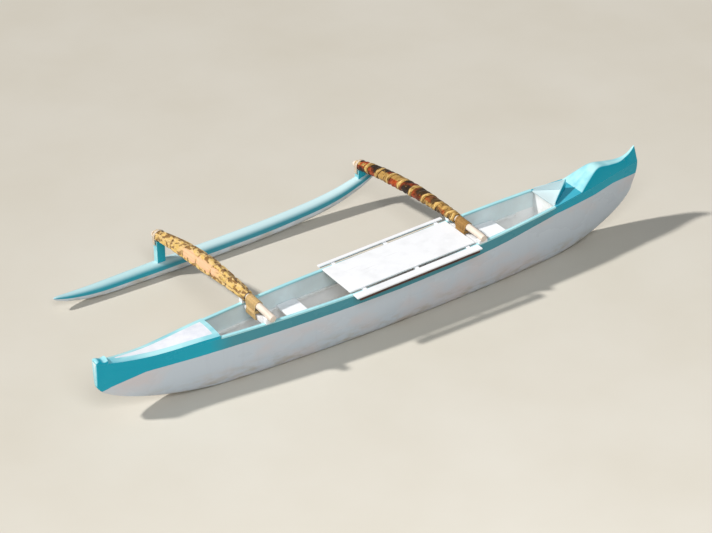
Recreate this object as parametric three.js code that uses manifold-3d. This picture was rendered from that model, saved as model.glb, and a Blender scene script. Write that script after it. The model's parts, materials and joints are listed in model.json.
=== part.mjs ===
// Single-outrigger canoe: a decked, flat-bottomed hull, a float carried on two arched beams,
// and a white platform laid across the gunwales between them.
// Millimetres. +X towards the bow, +Y to port, the float's side, +Z up.
// The origin is under the middle of the hull, on the flat bottom that it stands on.
import * as THREE from "three";
import { mergeVertices } from "three/addons/utils/BufferGeometryUtils.js";
import Module from "manifold-3d";

const wasm = await Module();
wasm.setup();

// Hull: overall form
const HALF_BREADTH = 277;
const BOTTOM_HALF = 120;
const BOTTOM_END_HALF = 20;
const SIDE_FLARE = 0.06;
const WALL = 12;
const BOTTOM_WALL = 16;
const WELL_CUT_ABOVE = 90;
const KEEL_HALF_LEAST = 4;
const SECTION_POWER = 5;
const END_SECTION_POWER = 2.2;
const SHEER_MIDDLE = 556;
const FOOT_POWER = 1.7;
const STEM_BULGE = { from: 2800, low: 450, high: 900, out: 50 };
// clearances: between flat faces that touch, and against the hull's curved walls
const FIT = 0.3;
const WALL_FIT = 0.6;
// the two ends differ: plan and ease shape the breadth, foot the rounded-up keel, rise the sheer
const BOW = { length: 3100, plan: 2.6, ease: 1, stemHalf: 32, footFrom: 1950, footRise: 450,
  rise: 162, risePower: 1.2, wellEnd: 2950 };
const STERN = { length: 3170, plan: 2.2, ease: 1.35, stemHalf: 46, footFrom: 1800, footRise: 420,
  rise: 110, risePower: 9, wellEnd: 3000 };

// Hull: rails, risers, decks and bulkheads
const RAIL = { overhang: 8, inboard: 28, thick: 18, chamfer: 4, from: -1955, to: 1930 };
const RISER = { below: 190, deep: 28, wide: 20, from: -1800, to: 1750 };
const AFT_DECK = { from: -3055, to: -1960, edge: 8, lift: 24, liftFrom: -2700, liftTo: -2020,
  shoulder: 10, shoulderAt: 0.62, ridge: 18 };
// columns: x, height of the stern tip's ridge
const STERN_TIP = [[-3170, 690], [-3145, 699], [-3095, 678]];
const STERN_CHEEK = { up: 0.6, flat: 0.6, drop: 6 };
const FOREDECK = { from: 1935, to: 2300, thick: 14 };
const BOW_PIECE_FROM = 2303;
const BOW_CREST = { lean: 0.36, leanMost: 0.62, shoulder: 0.94, flat: 0.6, drop: 1, steps: 22 };
// columns: x, height of the bow's ridge
const BOW_RIDGE = [
  [2303, 684], [2420, 764], [2570, 838], [2740, 814], [2890, 797], [3000, 830], [3100, 900],
];
const BULKHEAD = { aft: -2100, fore: 1960, thick: 12 };
const BREAKWATER = { apex: 2220, foot: 1950, side: 176, thick: 12, apexTop: 790, footTop: 694,
  footThick: 0.3, footIn: 7 };

// Beams from the starboard gunwale to the float, each an arch in the YZ plane, with a seat
// ahead of it
const BEAM_RADIUS = 36;
const BEAM_SIDES = 12;
const BEAM_END_CUT = 2;
const BEAM_STEPS = 18;
const BEAMS = [
  { name: "front", x: 970, starboard: [-290, 668], lift: [430, 700], fall: [1250, 646],
    port: [1940, 448], snug: 54, wrap: 70, seatAhead: 280 },
  { name: "rear", x: -1460, starboard: [-290, 646], lift: [430, 680], fall: [1250, 628],
    port: [1940, 428], snug: 56, wrap: 88, seatAhead: 350 },
];
const WRAP = { from: 150, to: 1890, clear: 1.6, sides: 16 };
// the front cloth is a wound strip, pinched once a turn up to where the float's lashing holds
// it flat; the rear one is a roll, pinched at its ties
const WINDING = { pitch: 200, pinch: 7, steps: 70, fadeFrom: 1720, fadeTo: 1800 };
// around: where the roll's sections lie on both sides of a tie, in shares of its reach
const TIES = { count: 7, from: 210, to: 1760, pinch: 9, reach: 26,
  around: [-1.6, -0.7, 0, 0.7, 1.6] };
const SADDLE = { along: 96, across: 56, grip: 0.5 };
// the hollow that cradles a beam or the cloth round it
const CRADLE = { clear: 1.2, sides: 24, past: 60 };
const SPREADER = { along: 50, deep: 40, clear: 1 };
const SEAT = { thick: 18, long: 220, clear: 1 };
// lashings: closed bands of touching turns of cord
const CORD = { across: 8.1, groove: 3.2, corner: 8, shoulder: 0.55 };
const LASHING = { y: 45, width: 170, thick: 9, clear: 1 };

// Platform of three boards on bearers, in the plane of the rails
const PLATFORM = { from: -575, to: 890, board: 14, overRail: 1.2, bearerOver: 10, bearerIn: 24,
  bearerWide: 40, bearerClear: 0.7, insideHalf: 240 };
// columns: name, starboard edge, port edge
const BOARDS = [
  ["side_board_starboard", -375, -290], ["centre_board", -245, 236], ["side_board_port", 286, 326],
];
const BEARERS = [["aft", -420], ["middle", 190], ["fore", 800]];
const FASCIA = { thick: 14, deep: 26, short: 30 };

// Float
const AMA = { y: 1840, wide: 170, high: 180, sides: 14 };
// columns: x, height of the section's centre, share of the full section
const AMA_STATIONS = [
  [-2660, 146, 0.12], [-2600, 132, 0.3], [-2480, 108, 0.5], [-2250, 84, 0.72], [-1950, 77.4, 0.86],
  [-1200, 87.3, 0.97], [-700, 92, 1], [-200, 108, 1], [300, 142, 0.97], [650, 194, 0.9],
  [900, 264, 0.8], [1060, 322, 0.64], [1140, 354, 0.42], [1170, 368, 0.2],
];
const POST = { along: 90, across: 70, sunk: 60, horns: 22, slotAcross: 44, slotHigh: 12,
  slotBelow: 16 };
const POST_LASHING = { width: 40, thick: 8, clear: 0.4 };

const paint = {
  hullWhite: { color: 0xdedfe2, roughness: 0.35 },
  turquoise: { color: 0x19a3b8, roughness: 0.3 },
  boardWhite: { color: 0xf2f3f3, roughness: 0.45 },
  interiorGrey: { color: 0xc3c8cc, roughness: 0.5 },
  bareWood: { color: 0xe9cfae, roughness: 0.6 },
  darkWood: { color: 0x4d2c1c, roughness: 0.5 },
  frontCloth: { color: 0xb98f56, roughness: 0.95 },
  rearCloth: { color: 0xcaa266, roughness: 0.95 },
  coir: { color: 0xb98638, roughness: 0.9 },
};

const canoe = new THREE.Group();

function add(name, geometry, finish, parent = canoe) {
  const material = new THREE.MeshStandardMaterial({ ...paint[finish], metalness: 0 });
  const mesh = new THREE.Mesh(geometry, material);
  mesh.name = name;
  parent.add(mesh);
  return mesh;
}

// A closed body through rings of [x, y, z] points, each ring with the same count
function loft(rings) {
  const count = rings[0].length;
  const points = rings.flat();
  const faces = [];
  for (let i = 0; i + 1 < rings.length; i++) {
    for (let j = 0; j < count; j++) {
      const a = i * count + j;
      const b = i * count + ((j + 1) % count);
      faces.push(a, b, b + count, a, b + count, a + count);
    }
  }
  for (const [ring, first, turn] of [[rings[0], 0, 1], [rings.at(-1), points.length - count, 0]]) {
    const centre = [0, 1, 2].map((k) => ring.reduce((sum, p) => sum + p[k], 0) / count);
    const hub = points.push(centre) - 1;
    for (let j = 0; j < count; j++) {
      const pair = [first + j, first + ((j + 1) % count)];
      faces.push(hub, pair[turn], pair[1 - turn]);
    }
  }
  return facingOut(points, faces);
}

// Turns every face round if the body's signed volume is negative
function facingOut(points, faces) {
  let volume = 0;
  for (let i = 0; i < faces.length; i += 3) {
    const [a, b, c] = [0, 1, 2].map((k) => new THREE.Vector3(...points[faces[i + k]]));
    volume += a.dot(b.cross(c));
  }
  if (volume < 0) faces.reverse();
  const geometry = new THREE.BufferGeometry();
  geometry.setAttribute("position", new THREE.Float32BufferAttribute(points.flat(), 3));
  geometry.setIndex(faces);
  geometry.computeVertexNormals();
  return geometry;
}

function solid(geometry) {
  const bare = geometry.clone();
  bare.deleteAttribute("normal");
  bare.deleteAttribute("uv");
  const merged = mergeVertices(bare, 1e-3);
  const vertProperties = new Float32Array(merged.attributes.position.array);
  const triVerts = new Uint32Array(merged.index.array);
  return new wasm.Manifold(new wasm.Mesh({ numProp: 3, vertProperties, triVerts }));
}

function fromSolid(body) {
  const mesh = body.getMesh();
  const geometry = new THREE.BufferGeometry();
  geometry.setAttribute("position", new THREE.BufferAttribute(mesh.vertProperties, 3));
  geometry.setIndex(new THREE.BufferAttribute(mesh.triVerts, 1));
  geometry.computeVertexNormals();
  return geometry;
}

function block([x0, y0, z0], [x1, y1, z1]) {
  const box = new THREE.BoxGeometry(x1 - x0, y1 - y0, z1 - z0);
  return box.translate((x0 + x1) / 2, (y0 + y1) / 2, (z0 + z1) / 2);
}

// The hull's lines at one place along it, by formula
function formulaLines(x) {
  const end = x > 0 ? BOW : STERN;
  const along = Math.abs(x) / end.length;
  const fullness = (1 - along ** end.plan) ** end.ease;
  const foot = Math.max(0, (Math.abs(x) - end.footFrom) / (end.length - end.footFrom));
  return {
    half: end.stemHalf + (HALF_BREADTH - end.stemHalf) * fullness,
    bottom: BOTTOM_END_HALF + (BOTTOM_HALF - BOTTOM_END_HALF) * fullness,
    keel: end.footRise * (1 - (1 - foot ** FOOT_POWER) ** (1 / FOOT_POWER)),
    sheer: SHEER_MIDDLE + end.rise * along ** end.risePower,
    power: SECTION_POWER + (END_SECTION_POWER - SECTION_POWER) * along ** 2,
  };
}

const FOOT_STEPS = 8;

function hullStations() {
  const places = [AFT_DECK.to, RAIL.from, RAIL.to, BULKHEAD.aft, BULKHEAD.aft + BULKHEAD.thick,
    BULKHEAD.fore, BULKHEAD.fore + BULKHEAD.thick, FOREDECK.from, FOREDECK.to, AFT_DECK.from,
    BOW_PIECE_FROM, BOW.wellEnd, -STERN.wellEnd];
  for (let x = -1800; x <= 1800; x += 300) places.push(x);
  for (const [side, end] of [[1, BOW], [-1, STERN]]) {
    for (let i = 0; i <= FOOT_STEPS; i++) {
      const round = Math.sin((i / FOOT_STEPS) * Math.PI / 2);
      places.push(side * (end.footFrom + (end.length - end.footFrom) * round));
    }
  }
  const sorted = [...new Set(places)].sort((a, b) => a - b);
  return sorted.map((x) => ({ x, ...formulaLines(x) }));
}

const stations = hullStations();

// The lines as built: straight between stations, so that every piece on the hull fits it
function lines(x) {
  const after = Math.max(1, stations.findIndex((s) => s.x >= x));
  const [a, b] = [stations[after - 1], stations[after]];
  const t = (x - a.x) / (b.x - a.x);
  const mixed = {};
  for (const key of ["half", "bottom", "keel", "sheer", "power"]) {
    mixed[key] = a[key] + (b[key] - a[key]) * t;
  }
  return mixed;
}

function stationsBetween(from, to) {
  const inside = stations.map((s) => s.x).filter((x) => x > from && x < to);
  return [from, ...inside, to];
}

// Outer half-breadth at a height: a superellipse above the flat bottom, flared outwards
function halfAt(line, z) {
  const down = Math.min(1, Math.max(0, (line.sheer - z) / (line.sheer - line.keel)));
  const round = (1 - down ** line.power) ** (1 / line.power);
  return (line.bottom + (line.half - line.bottom) * round) * (1 - SIDE_FLARE * down);
}

// The stem swells forwards between the forefoot and the tip
function stemmed([x, y, z]) {
  const { from, low, high, out } = STEM_BULGE;
  const near = THREE.MathUtils.smoothstep(x, from, BOW.length);
  const up = THREE.MathUtils.clamp((z - low) / (high - low), 0, 1);
  return [x + out * near * Math.sin(Math.PI * up), y, z];
}

const SECTION_STEPS = 8;

// One side's points of the hull's section from the sheer down, moved in by inset and up by floor
function sectionSide(line, inset, floor) {
  const depth = line.sheer - line.keel;
  return steps(0, Math.PI / 2, SECTION_STEPS).map((turn) => {
    const down = Math.sin(turn) ** (2 / line.power);
    const y = halfAt(line, line.sheer - down * depth) - inset;
    return [Math.max(y, KEEL_HALF_LEAST), line.sheer - down * (depth - floor)];
  });
}

// The inner wall's half-breadth at a height, straight between the section's points
function wallHalf(line, z) {
  const side = sectionSide(line, WALL, BOTTOM_WALL);
  const after = Math.max(1, side.findIndex((point) => point[1] <= z));
  const [[y0, z0], [y1, z1]] = [side[after - 1], side[after]];
  return y0 + ((y1 - y0) * (z - z0)) / (z1 - z0);
}

// One ring round the hull at x, moved in by inset and closed at the height top above the sheer
function hullRing(x, inset, floor, top) {
  const line = lines(x);
  const side = sectionSide(line, inset, floor);
  if (top !== 0) side.unshift([line.half - inset, line.sheer + top]);
  const mirrored = side.map(([y, z]) => [-y, z]).reverse();
  return [...side, ...mirrored].map(([y, z]) => stemmed([x, y, z]));
}

function hullShell() {
  const outer = stationsBetween(-STERN.length, BOW.length).map((x) => hullRing(x, 0, 0, 0));
  const well = stationsBetween(-STERN.wellEnd, BOW.wellEnd)
    .map((x) => hullRing(x, WALL, BOTTOM_WALL, WELL_CUT_ABOVE));
  return fromSolid(solid(loft(outer)).subtract(solid(loft(well))));
}

// A rail or riser along one side: a bar whose corners follow the hull's lines
function sideBar(side, from, to, corners) {
  return loft(stationsBetween(from, to).map((x) => {
    const line = lines(x);
    return corners(line).map(([y, z]) => stemmed([x, side * y, z]));
  }));
}

function railCorners({ half, sheer }) {
  const [outer, inner] = [half + RAIL.overhang, half - RAIL.inboard];
  const [low, high] = [sheer + FIT, sheer + FIT + RAIL.thick];
  const cut = RAIL.chamfer;
  return [[outer, low], [outer, high - cut], [outer - cut, high], [inner + cut, high],
    [inner, high - cut], [inner, low]];
}

function riserCorners(line) {
  const high = line.sheer - RISER.below;
  const low = high - RISER.deep;
  const [upper, lower] = [high, low].map((z) => wallHalf(line, z) - WALL_FIT);
  return [[upper, high], [upper - RISER.wide, high], [lower - RISER.wide, low], [lower, low]];
}

function railTop(x) {
  return lines(x).sheer + FIT + RAIL.thick;
}

function mirrorPairs(name, build, finish) {
  for (const [side, word] of [[1, "port"], [-1, "starboard"]]) {
    add(`${name}_${word}`, build(side), finish);
  }
}

// A cambered cover over the after end, higher towards the well
function aftDeck() {
  return loft(stationsBetween(AFT_DECK.from, AFT_DECK.to).map((x) => {
    const { half, sheer } = lines(x);
    const low = sheer + FIT;
    const rising = THREE.MathUtils.smoothstep(x, AFT_DECK.liftFrom, AFT_DECK.liftTo);
    const edge = low + AFT_DECK.edge + AFT_DECK.lift * rising;
    const [shoulder, ridge] = [edge + AFT_DECK.shoulder, edge + AFT_DECK.ridge];
    const inner = half * AFT_DECK.shoulderAt;
    return [[x, -half, low], [x, -half, edge], [x, -inner, shoulder], [x, 0, ridge],
      [x, inner, shoulder], [x, half, edge], [x, half, low]];
  }));
}

function sternPiece() {
  const end = AFT_DECK.from - FIT;
  const rows = [...STERN_TIP, [end, lines(end).sheer + AFT_DECK.edge + AFT_DECK.ridge]];
  return loft(rows.map(([x, top]) => {
    const { half, sheer } = lines(x);
    const low = sheer + FIT;
    const cheek = low + STERN_CHEEK.up * (top - low);
    const [flat, brow] = [half * STERN_CHEEK.flat, top - STERN_CHEEK.drop];
    return [[x, -half, low], [x, -half, cheek], [x, -flat, brow], [x, 0, top],
      [x, flat, brow], [x, half, cheek], [x, half, low]];
  }));
}

function foredeck() {
  return loft(stationsBetween(FOREDECK.from, FOREDECK.to).map((x) => {
    const { half, sheer } = lines(x);
    const [low, high] = [sheer + FIT, sheer + FIT + FOREDECK.thick];
    return [[x, -half, low], [x, -half, high], [x, half, high], [x, half, low]];
  }));
}

// The raised bow: a ramp up from the foredeck, a hollow back and an upturned tip. Its sides
// lean in to a narrow crest.
function bowPiece() {
  const ridge = new THREE.SplineCurve(BOW_RIDGE.map(([x, z]) => new THREE.Vector2(x, z)));
  return loft(ridge.getPoints(BOW_CREST.steps).map(({ x, y: top }) => {
    const { half, sheer } = lines(x);
    const low = sheer + FIT;
    const crest = half - Math.min(BOW_CREST.leanMost * half, BOW_CREST.lean * (top - low));
    const shoulder = low + BOW_CREST.shoulder * (top - low);
    const [flat, brow] = [crest * BOW_CREST.flat, top - BOW_CREST.drop];
    return [[-half, low], [-crest, shoulder], [-flat, brow], [0, top],
      [flat, brow], [crest, shoulder], [half, low]]
      .map(([y, z]) => stemmed([x, y, z]));
  }));
}

function bulkhead(from) {
  const rings = stationsBetween(from, from + BULKHEAD.thick);
  return loft(rings.map((x) => hullRing(x, WALL + WALL_FIT, BOTTOM_WALL + WALL_FIT, 0)
    .map(([px, y, z]) => [px, y, Math.min(z, lines(x).sheer - FIT)])));
}

// One half of the V-shaped breakwater, mitred on the centreline, low at the rail
function breakwater(side) {
  const { apex, foot, side: reach, thick, apexTop, footTop, footThick, footIn } = BREAKWATER;
  const slope = Math.atan2(reach, apex - foot);
  const back = thick / Math.sin(slope);
  const deckTop = (x) => lines(x).sheer + FOREDECK.thick + 2 * FIT;
  const base = Math.max(deckTop(foot), deckTop(apex));
  const [footBack, footSide] = [foot - back * footThick, reach - footIn];
  const out = (x, y, z) => [x, side * y, z];
  return loft([
    [out(foot, reach, deckTop(foot)), out(foot, reach, footTop),
      out(footBack, footSide, footTop), out(footBack, footSide, deckTop(foot))],
    [out(apex, FIT / 2, base), out(apex, FIT / 2, apexTop),
      out(apex - back, FIT / 2, apexTop), out(apex - back, FIT / 2, base)],
  ]);
}

// A board between the hull's sides, its ends cut to the walls
function crossBoard(from, to, low, thick, clear) {
  const shape = new THREE.Shape();
  const half = (x) => wallHalf(lines(x), low) - clear;
  shape.moveTo(from, -half(from)).lineTo(to, -half(to)).lineTo(to, half(to))
    .lineTo(from, half(from));
  const board = new THREE.ExtrudeGeometry(shape, { depth: thick, bevelEnabled: false });
  return board.translate(0, 0, low);
}

function beamCurve({ x, starboard, lift, fall, port }) {
  const at = ([y, z]) => new THREE.Vector3(x, y, z);
  return new THREE.CubicBezierCurve3(at(starboard), at(lift), at(fall), at(port));
}

// The beam's axis height at y, found by halving
function beamHeight(beam, y) {
  const curve = beamCurve(beam);
  let [low, high] = [0, 1];
  for (let i = 0; i < 30; i++) {
    const middle = (low + high) / 2;
    if (curve.getPoint(middle).y < y) low = middle;
    else high = middle;
  }
  return curve.getPoint(low).z;
}

function beamTilt(beam, y) {
  return Math.atan((beamHeight(beam, y + 1) - beamHeight(beam, y - 1)) / 2);
}

// A ring of points round the beam's axis at y, square to the axis. Pinch draws points in.
function beamRing(beam, y, radius, count, pinch = () => 0) {
  const tilt = beamTilt(beam, y);
  const z = beamHeight(beam, y);
  const ring = [];
  for (let i = 0; i < count; i++) {
    const turn = ((i + 0.5) / count) * 2 * Math.PI;
    const reach = radius - pinch(y, turn);
    const [across, up] = [reach * Math.cos(turn), reach * Math.sin(turn)];
    ring.push([beam.x + across, y - up * Math.sin(tilt), z + up * Math.cos(tilt)]);
  }
  return ring;
}

function steps(from, to, count) {
  return Array.from({ length: count + 1 }, (_, i) => from + ((to - from) * i) / count);
}

function beamCore(beam) {
  const [from, to] = [beam.starboard[0] + BEAM_END_CUT, beam.port[0] - BEAM_END_CUT];
  const places = steps(from, to, BEAM_STEPS);
  return loft(places.map((y) => beamRing(beam, y, BEAM_RADIUS, BEAM_SIDES)));
}

// The cloth's radius at y: snug at both ends, bulky between
function wrapRadius(beam, y) {
  const along = THREE.MathUtils.clamp((y - WRAP.from) / (WRAP.to - WRAP.from), 0, 1);
  return beam.snug + (beam.wrap - beam.snug) * Math.sin(Math.PI * along) ** 1.5;
}

// A wound strip is drawn in along one helix, where each turn laps the last
function windingPinch(y, turn) {
  const phase = (y - WRAP.from) / WINDING.pitch * 2 * Math.PI - turn;
  const fade = 1 - THREE.MathUtils.smoothstep(y, WINDING.fadeFrom, WINDING.fadeTo);
  return WINDING.pinch * fade * (0.5 + 0.5 * Math.cos(phase)) ** 2;
}

function tiePlaces() {
  return steps(TIES.from, TIES.to, TIES.count - 1);
}

// A roll is drawn in at each of its ties, as a bell curve
function tiePinch(y) {
  return tiePlaces().reduce((sum, tie) => (
    sum + TIES.pinch * Math.exp(-(((y - tie) / TIES.reach) ** 2))), 0);
}

// A sleeve of cloth round the beam through the places: an outer loft less an inner one
function beamWrap(beam, places, pinch) {
  const outer = places.map((y) => beamRing(beam, y, wrapRadius(beam, y), WRAP.sides, pinch));
  const past = BEAM_RADIUS / 4;
  const inner = steps(WRAP.from - past, WRAP.to + past, BEAM_STEPS)
    .map((y) => beamRing(beam, y, BEAM_RADIUS + WRAP.clear, BEAM_SIDES));
  return fromSolid(solid(loft(outer)).subtract(solid(loft(inner))));
}

// The height of the cloth's top over y. Its rings lean, so the one whose top lies there is
// found by repeated steps.
function wrapTop(beam, y) {
  let [place, top] = [y, 0];
  for (let i = 0; i < 8; i++) {
    const tilt = beamTilt(beam, place);
    const radius = wrapRadius(beam, place);
    top = beamHeight(beam, place) + radius * Math.cos(tilt);
    place = y + radius * Math.sin(tilt);
  }
  return top;
}

function woundWrap(beam) {
  return beamWrap(beam, steps(WRAP.from, WRAP.to, WINDING.steps), windingPinch);
}

function rolledWrap(beam) {
  const near = tiePlaces().flatMap((tie) => TIES.around.map((share) => tie + share * TIES.reach));
  return beamWrap(beam, [WRAP.from, ...near, WRAP.to], tiePinch);
}

// What a block that cradles the beam between two places is hollowed with
function cradleCore(beam, from, to, radius) {
  const places = steps(from - CRADLE.past, to + CRADLE.past, 4);
  return solid(loft(places.map((v) => beamRing(beam, v, radius(v) + CRADLE.clear,
    CRADLE.sides))));
}

// A block on the rail, hollowed on top to cradle the beam, or the cloth round it
function saddle(beam, side) {
  const x0 = beam.x - SADDLE.along / 2;
  const x1 = beam.x + SADDLE.along / 2;
  const y = side * (lines(beam.x).half - (RAIL.inboard - RAIL.overhang) / 2);
  const low = Math.max(railTop(x0), railTop(x1), railTop(beam.x)) + FIT;
  const radius = (v) => (y > WRAP.from ? wrapRadius(beam, v) : BEAM_RADIUS);
  const high = beamHeight(beam, y) - radius(y) * SADDLE.grip;
  const box = block([x0, y - SADDLE.across / 2, low], [x1, y + SADDLE.across / 2, high]);
  const core = cradleCore(beam, y - SADDLE.across / 2, y + SADDLE.across / 2, radius);
  return fromSolid(solid(box).subtract(core));
}

// A closed band of cord, wound square to Y, round what stands between low and topAt(place).
// Its outside is ridged by the turns.
function band(x, y, low, topAt, half, width, thick) {
  const outline = (grow, place) => {
    const [w, top] = [half + grow, topAt(place) + grow];
    const [bottom, r] = [low - grow, CORD.corner + grow];
    const s = w * CORD.shoulder;
    return [[-w + r, bottom], [w - r, bottom], [w, bottom + r], [w, top - s], [s, top],
      [-s, top], [-w, top - s], [-w, bottom + r]].map(([px, pz]) => [x + px, place, pz]);
  };
  const turns = Math.round(width / CORD.across);
  const outer = steps(y - width / 2, y + width / 2, 2 * turns)
    .map((place, i) => outline(i % 2 ? thick : thick - CORD.groove, place));
  const inner = steps(y - width / 2 - thick, y + width / 2 + thick, turns)
    .map((place) => outline(0, place));
  return fromSolid(solid(loft(outer)).subtract(solid(loft(inner))));
}

// A spreader bears up against the rails, which its lashing pulls it to
function spreaderLow({ x }) {
  const ends = [x - SPREADER.along / 2, x + SPREADER.along / 2];
  return Math.min(...ends.map((end) => lines(end).sheer)) - FIT - SPREADER.deep;
}

function hullLashing(beam) {
  const { y, width, thick, clear } = LASHING;
  const topAt = (place) => beamHeight(beam, place) + BEAM_RADIUS + clear;
  const low = spreaderLow(beam) - FIT;
  return band(beam.x, y, low, topAt, BEAM_RADIUS + clear, width, thick);
}

function addBeam(beam, wrap) {
  const { name, x } = beam;
  add(`${name}_beam`, beamCore(beam), "bareWood");
  add(`${name}_wrap`, wrap, `${name}Cloth`);
  add(`${name}_saddle_port`, saddle(beam, 1), "hullWhite");
  add(`${name}_saddle_starboard`, saddle(beam, -1), "hullWhite");
  add(`${name}_spreader`, crossBoard(x - SPREADER.along / 2, x + SPREADER.along / 2,
    spreaderLow(beam), SPREADER.deep, SPREADER.clear), "hullWhite");
  add(`${name}_lashing`, hullLashing(beam), "coir");
  const seatFrom = x + beam.seatAhead;
  const seatLow = Math.max(lines(seatFrom).sheer, lines(seatFrom + SEAT.long).sheer)
    - RISER.below + FIT;
  add(`${name}_seat`, crossBoard(seatFrom, seatFrom + SEAT.long, seatLow, SEAT.thick,
    SEAT.clear), "boardWhite");
}

// The three boards, their bearers and the dark fascias under the outer edges
function addPlatform() {
  const [aft, fore] = [BEARERS[0][1], BEARERS[2][1]];
  const rise = railTop(fore) - railTop(aft);
  const deck = new THREE.Group();
  deck.position.set(aft, 0, railTop(aft) + PLATFORM.overRail + PLATFORM.bearerOver);
  deck.rotation.y = -Math.atan2(rise, fore - aft);
  canoe.add(deck);
  const { from, to, board, insideHalf } = PLATFORM;
  const [x0, x1] = [from - aft, to - aft];
  for (const [name, y0, y1] of BOARDS) {
    add(`platform_${name}`, block([x0, y0, FIT], [x1, y1, FIT + board]), "boardWhite", deck);
  }
  const [starboardEdge, portEdge] = [BOARDS[0][1], BOARDS[2][2]];
  for (const [name, y] of [["port", portEdge - FASCIA.thick], ["starboard", starboardEdge]]) {
    const low = [x0 + FASCIA.short, y, -FASCIA.deep];
    add(`platform_fascia_${name}`, block(low, [x1 - FASCIA.short, y + FASCIA.thick, 0]),
      "darkWood", deck);
  }
  for (const [name, x] of BEARERS) {
    const level = deck.position.z + (rise * (x - aft)) / (fore - aft);
    const under = level - railTop(x) - PLATFORM.bearerClear;
    const [a, b] = [x - aft - PLATFORM.bearerWide / 2, x - aft + PLATFORM.bearerWide / 2];
    const over = block([a, starboardEdge + FASCIA.thick + FIT, -under],
      [b, portEdge - FASCIA.thick - FIT, 0]);
    const inside = block([a, -insideHalf, -PLATFORM.bearerIn], [b, insideHalf, 0]);
    const bearer = fromSolid(solid(over).add(solid(inside)));
    add(`platform_bearer_${name}`, bearer, "boardWhite", deck);
  }
}

function amaRing([x, z, share]) {
  const ring = [];
  for (let i = 0; i < AMA.sides; i++) {
    const turn = ((i + 0.5) / AMA.sides) * 2 * Math.PI + Math.PI / 2;
    const reach = 1 / Math.cos(Math.PI / AMA.sides);
    ring.push([x, AMA.y + share * (AMA.wide / 2) * Math.cos(turn),
      z + share * (AMA.high / 2) * reach * Math.sin(turn)]);
  }
  return ring;
}

function amaTop(x) {
  const after = AMA_STATIONS.findIndex((s) => s[0] >= x);
  const [a, b] = [AMA_STATIONS[after - 1], AMA_STATIONS[after]];
  const t = (x - a[0]) / (b[0] - a[0]);
  const top = (s) => s[1] + (s[2] * AMA.high) / 2;
  return top(a) + (top(b) - top(a)) * t;
}

// A post or chock from the float up to the beam, slotted through for its lashing
function amaPost(beam) {
  const x0 = beam.x - POST.along / 2;
  const x1 = beam.x + POST.along / 2;
  const [y0, y1] = [AMA.y - POST.across / 2, AMA.y + POST.across / 2];
  const under = beamHeight(beam, y1) - wrapRadius(beam, y0);
  const body = solid(block([x0, y0, amaTop(x0) - POST.sunk], [x1, y1, under + POST.horns]));
  const float = solid(loft(AMA_STATIONS.map(([x, z, share]) => amaRing([x, z + FIT, share]))));
  const core = cradleCore(beam, y0, y1, (v) => wrapRadius(beam, v));
  const slotTop = under - POST.slotBelow;
  const [slotFrom, slotTo] = [x0 - POST.slotHigh, x1 + POST.slotHigh];
  const slot = solid(block([slotFrom, AMA.y - POST.slotAcross / 2, slotTop - POST.slotHigh],
    [slotTo, AMA.y + POST.slotAcross / 2, slotTop]));
  return { geometry: fromSolid(body.subtract(float).subtract(core).subtract(slot)), slotTop };
}

function addFloat() {
  add("ama", loft(AMA_STATIONS.map(amaRing)), "turquoise");
  for (const beam of BEAMS) {
    const { geometry, slotTop } = amaPost(beam);
    add(`${beam.name}_ama_post`, geometry, "turquoise");
    const { width, thick, clear } = POST_LASHING;
    const topAt = (place) => wrapTop(beam, place) + clear;
    const half = Math.max(POST.along / 2, wrapRadius(beam, AMA.y - width / 2)) + clear;
    add(`${beam.name}_ama_lashing`, band(beam.x, AMA.y, slotTop - clear, topAt, half, width,
      thick), "coir");
  }
}

add("hull_shell", hullShell(), "hullWhite");
mirrorPairs("rail", (side) => sideBar(side, RAIL.from, RAIL.to, railCorners), "turquoise");
mirrorPairs("riser", (side) => sideBar(side, RISER.from, RISER.to, riserCorners), "hullWhite");
add("aft_deck", aftDeck(), "turquoise");
add("stern_piece", sternPiece(), "turquoise");
add("aft_bulkhead", bulkhead(BULKHEAD.aft), "interiorGrey");
add("foredeck", foredeck(), "turquoise");
add("bow_piece", bowPiece(), "turquoise");
add("fore_bulkhead", bulkhead(BULKHEAD.fore), "interiorGrey");
mirrorPairs("breakwater", breakwater, "turquoise");
const [frontBeam, rearBeam] = BEAMS;
addBeam(frontBeam, woundWrap(frontBeam));
addBeam(rearBeam, rolledWrap(rearBeam));
addPlatform();
addFloat();

export default canoe;
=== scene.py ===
"""Outrigger canoe: painted shells, printed cloths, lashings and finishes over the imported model.

Metres, in the model's own frame: +X to the bow, +Y to port, where the float is, +Z up.
"""
import json
import math

import bpy
import numpy as np
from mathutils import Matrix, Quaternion, Vector


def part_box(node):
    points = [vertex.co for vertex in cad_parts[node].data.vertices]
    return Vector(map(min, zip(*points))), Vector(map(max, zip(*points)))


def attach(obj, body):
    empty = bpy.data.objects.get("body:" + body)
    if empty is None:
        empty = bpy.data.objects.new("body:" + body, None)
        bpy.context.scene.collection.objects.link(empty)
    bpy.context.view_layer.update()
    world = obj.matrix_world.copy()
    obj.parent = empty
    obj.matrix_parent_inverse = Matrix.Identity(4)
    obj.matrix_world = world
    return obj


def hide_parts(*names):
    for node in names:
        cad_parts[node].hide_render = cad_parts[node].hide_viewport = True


bl_info = {
    "name": "Outrigger canoe",
    "version": (1, 0, 0),
    "blender": (4, 5, 0),
    "location": "3D View > Sidebar > Canoe",
    "description": "Builds the shells, cloth, cords and finishes of a single-outrigger canoe",
    "category": "Object",
}

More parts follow.
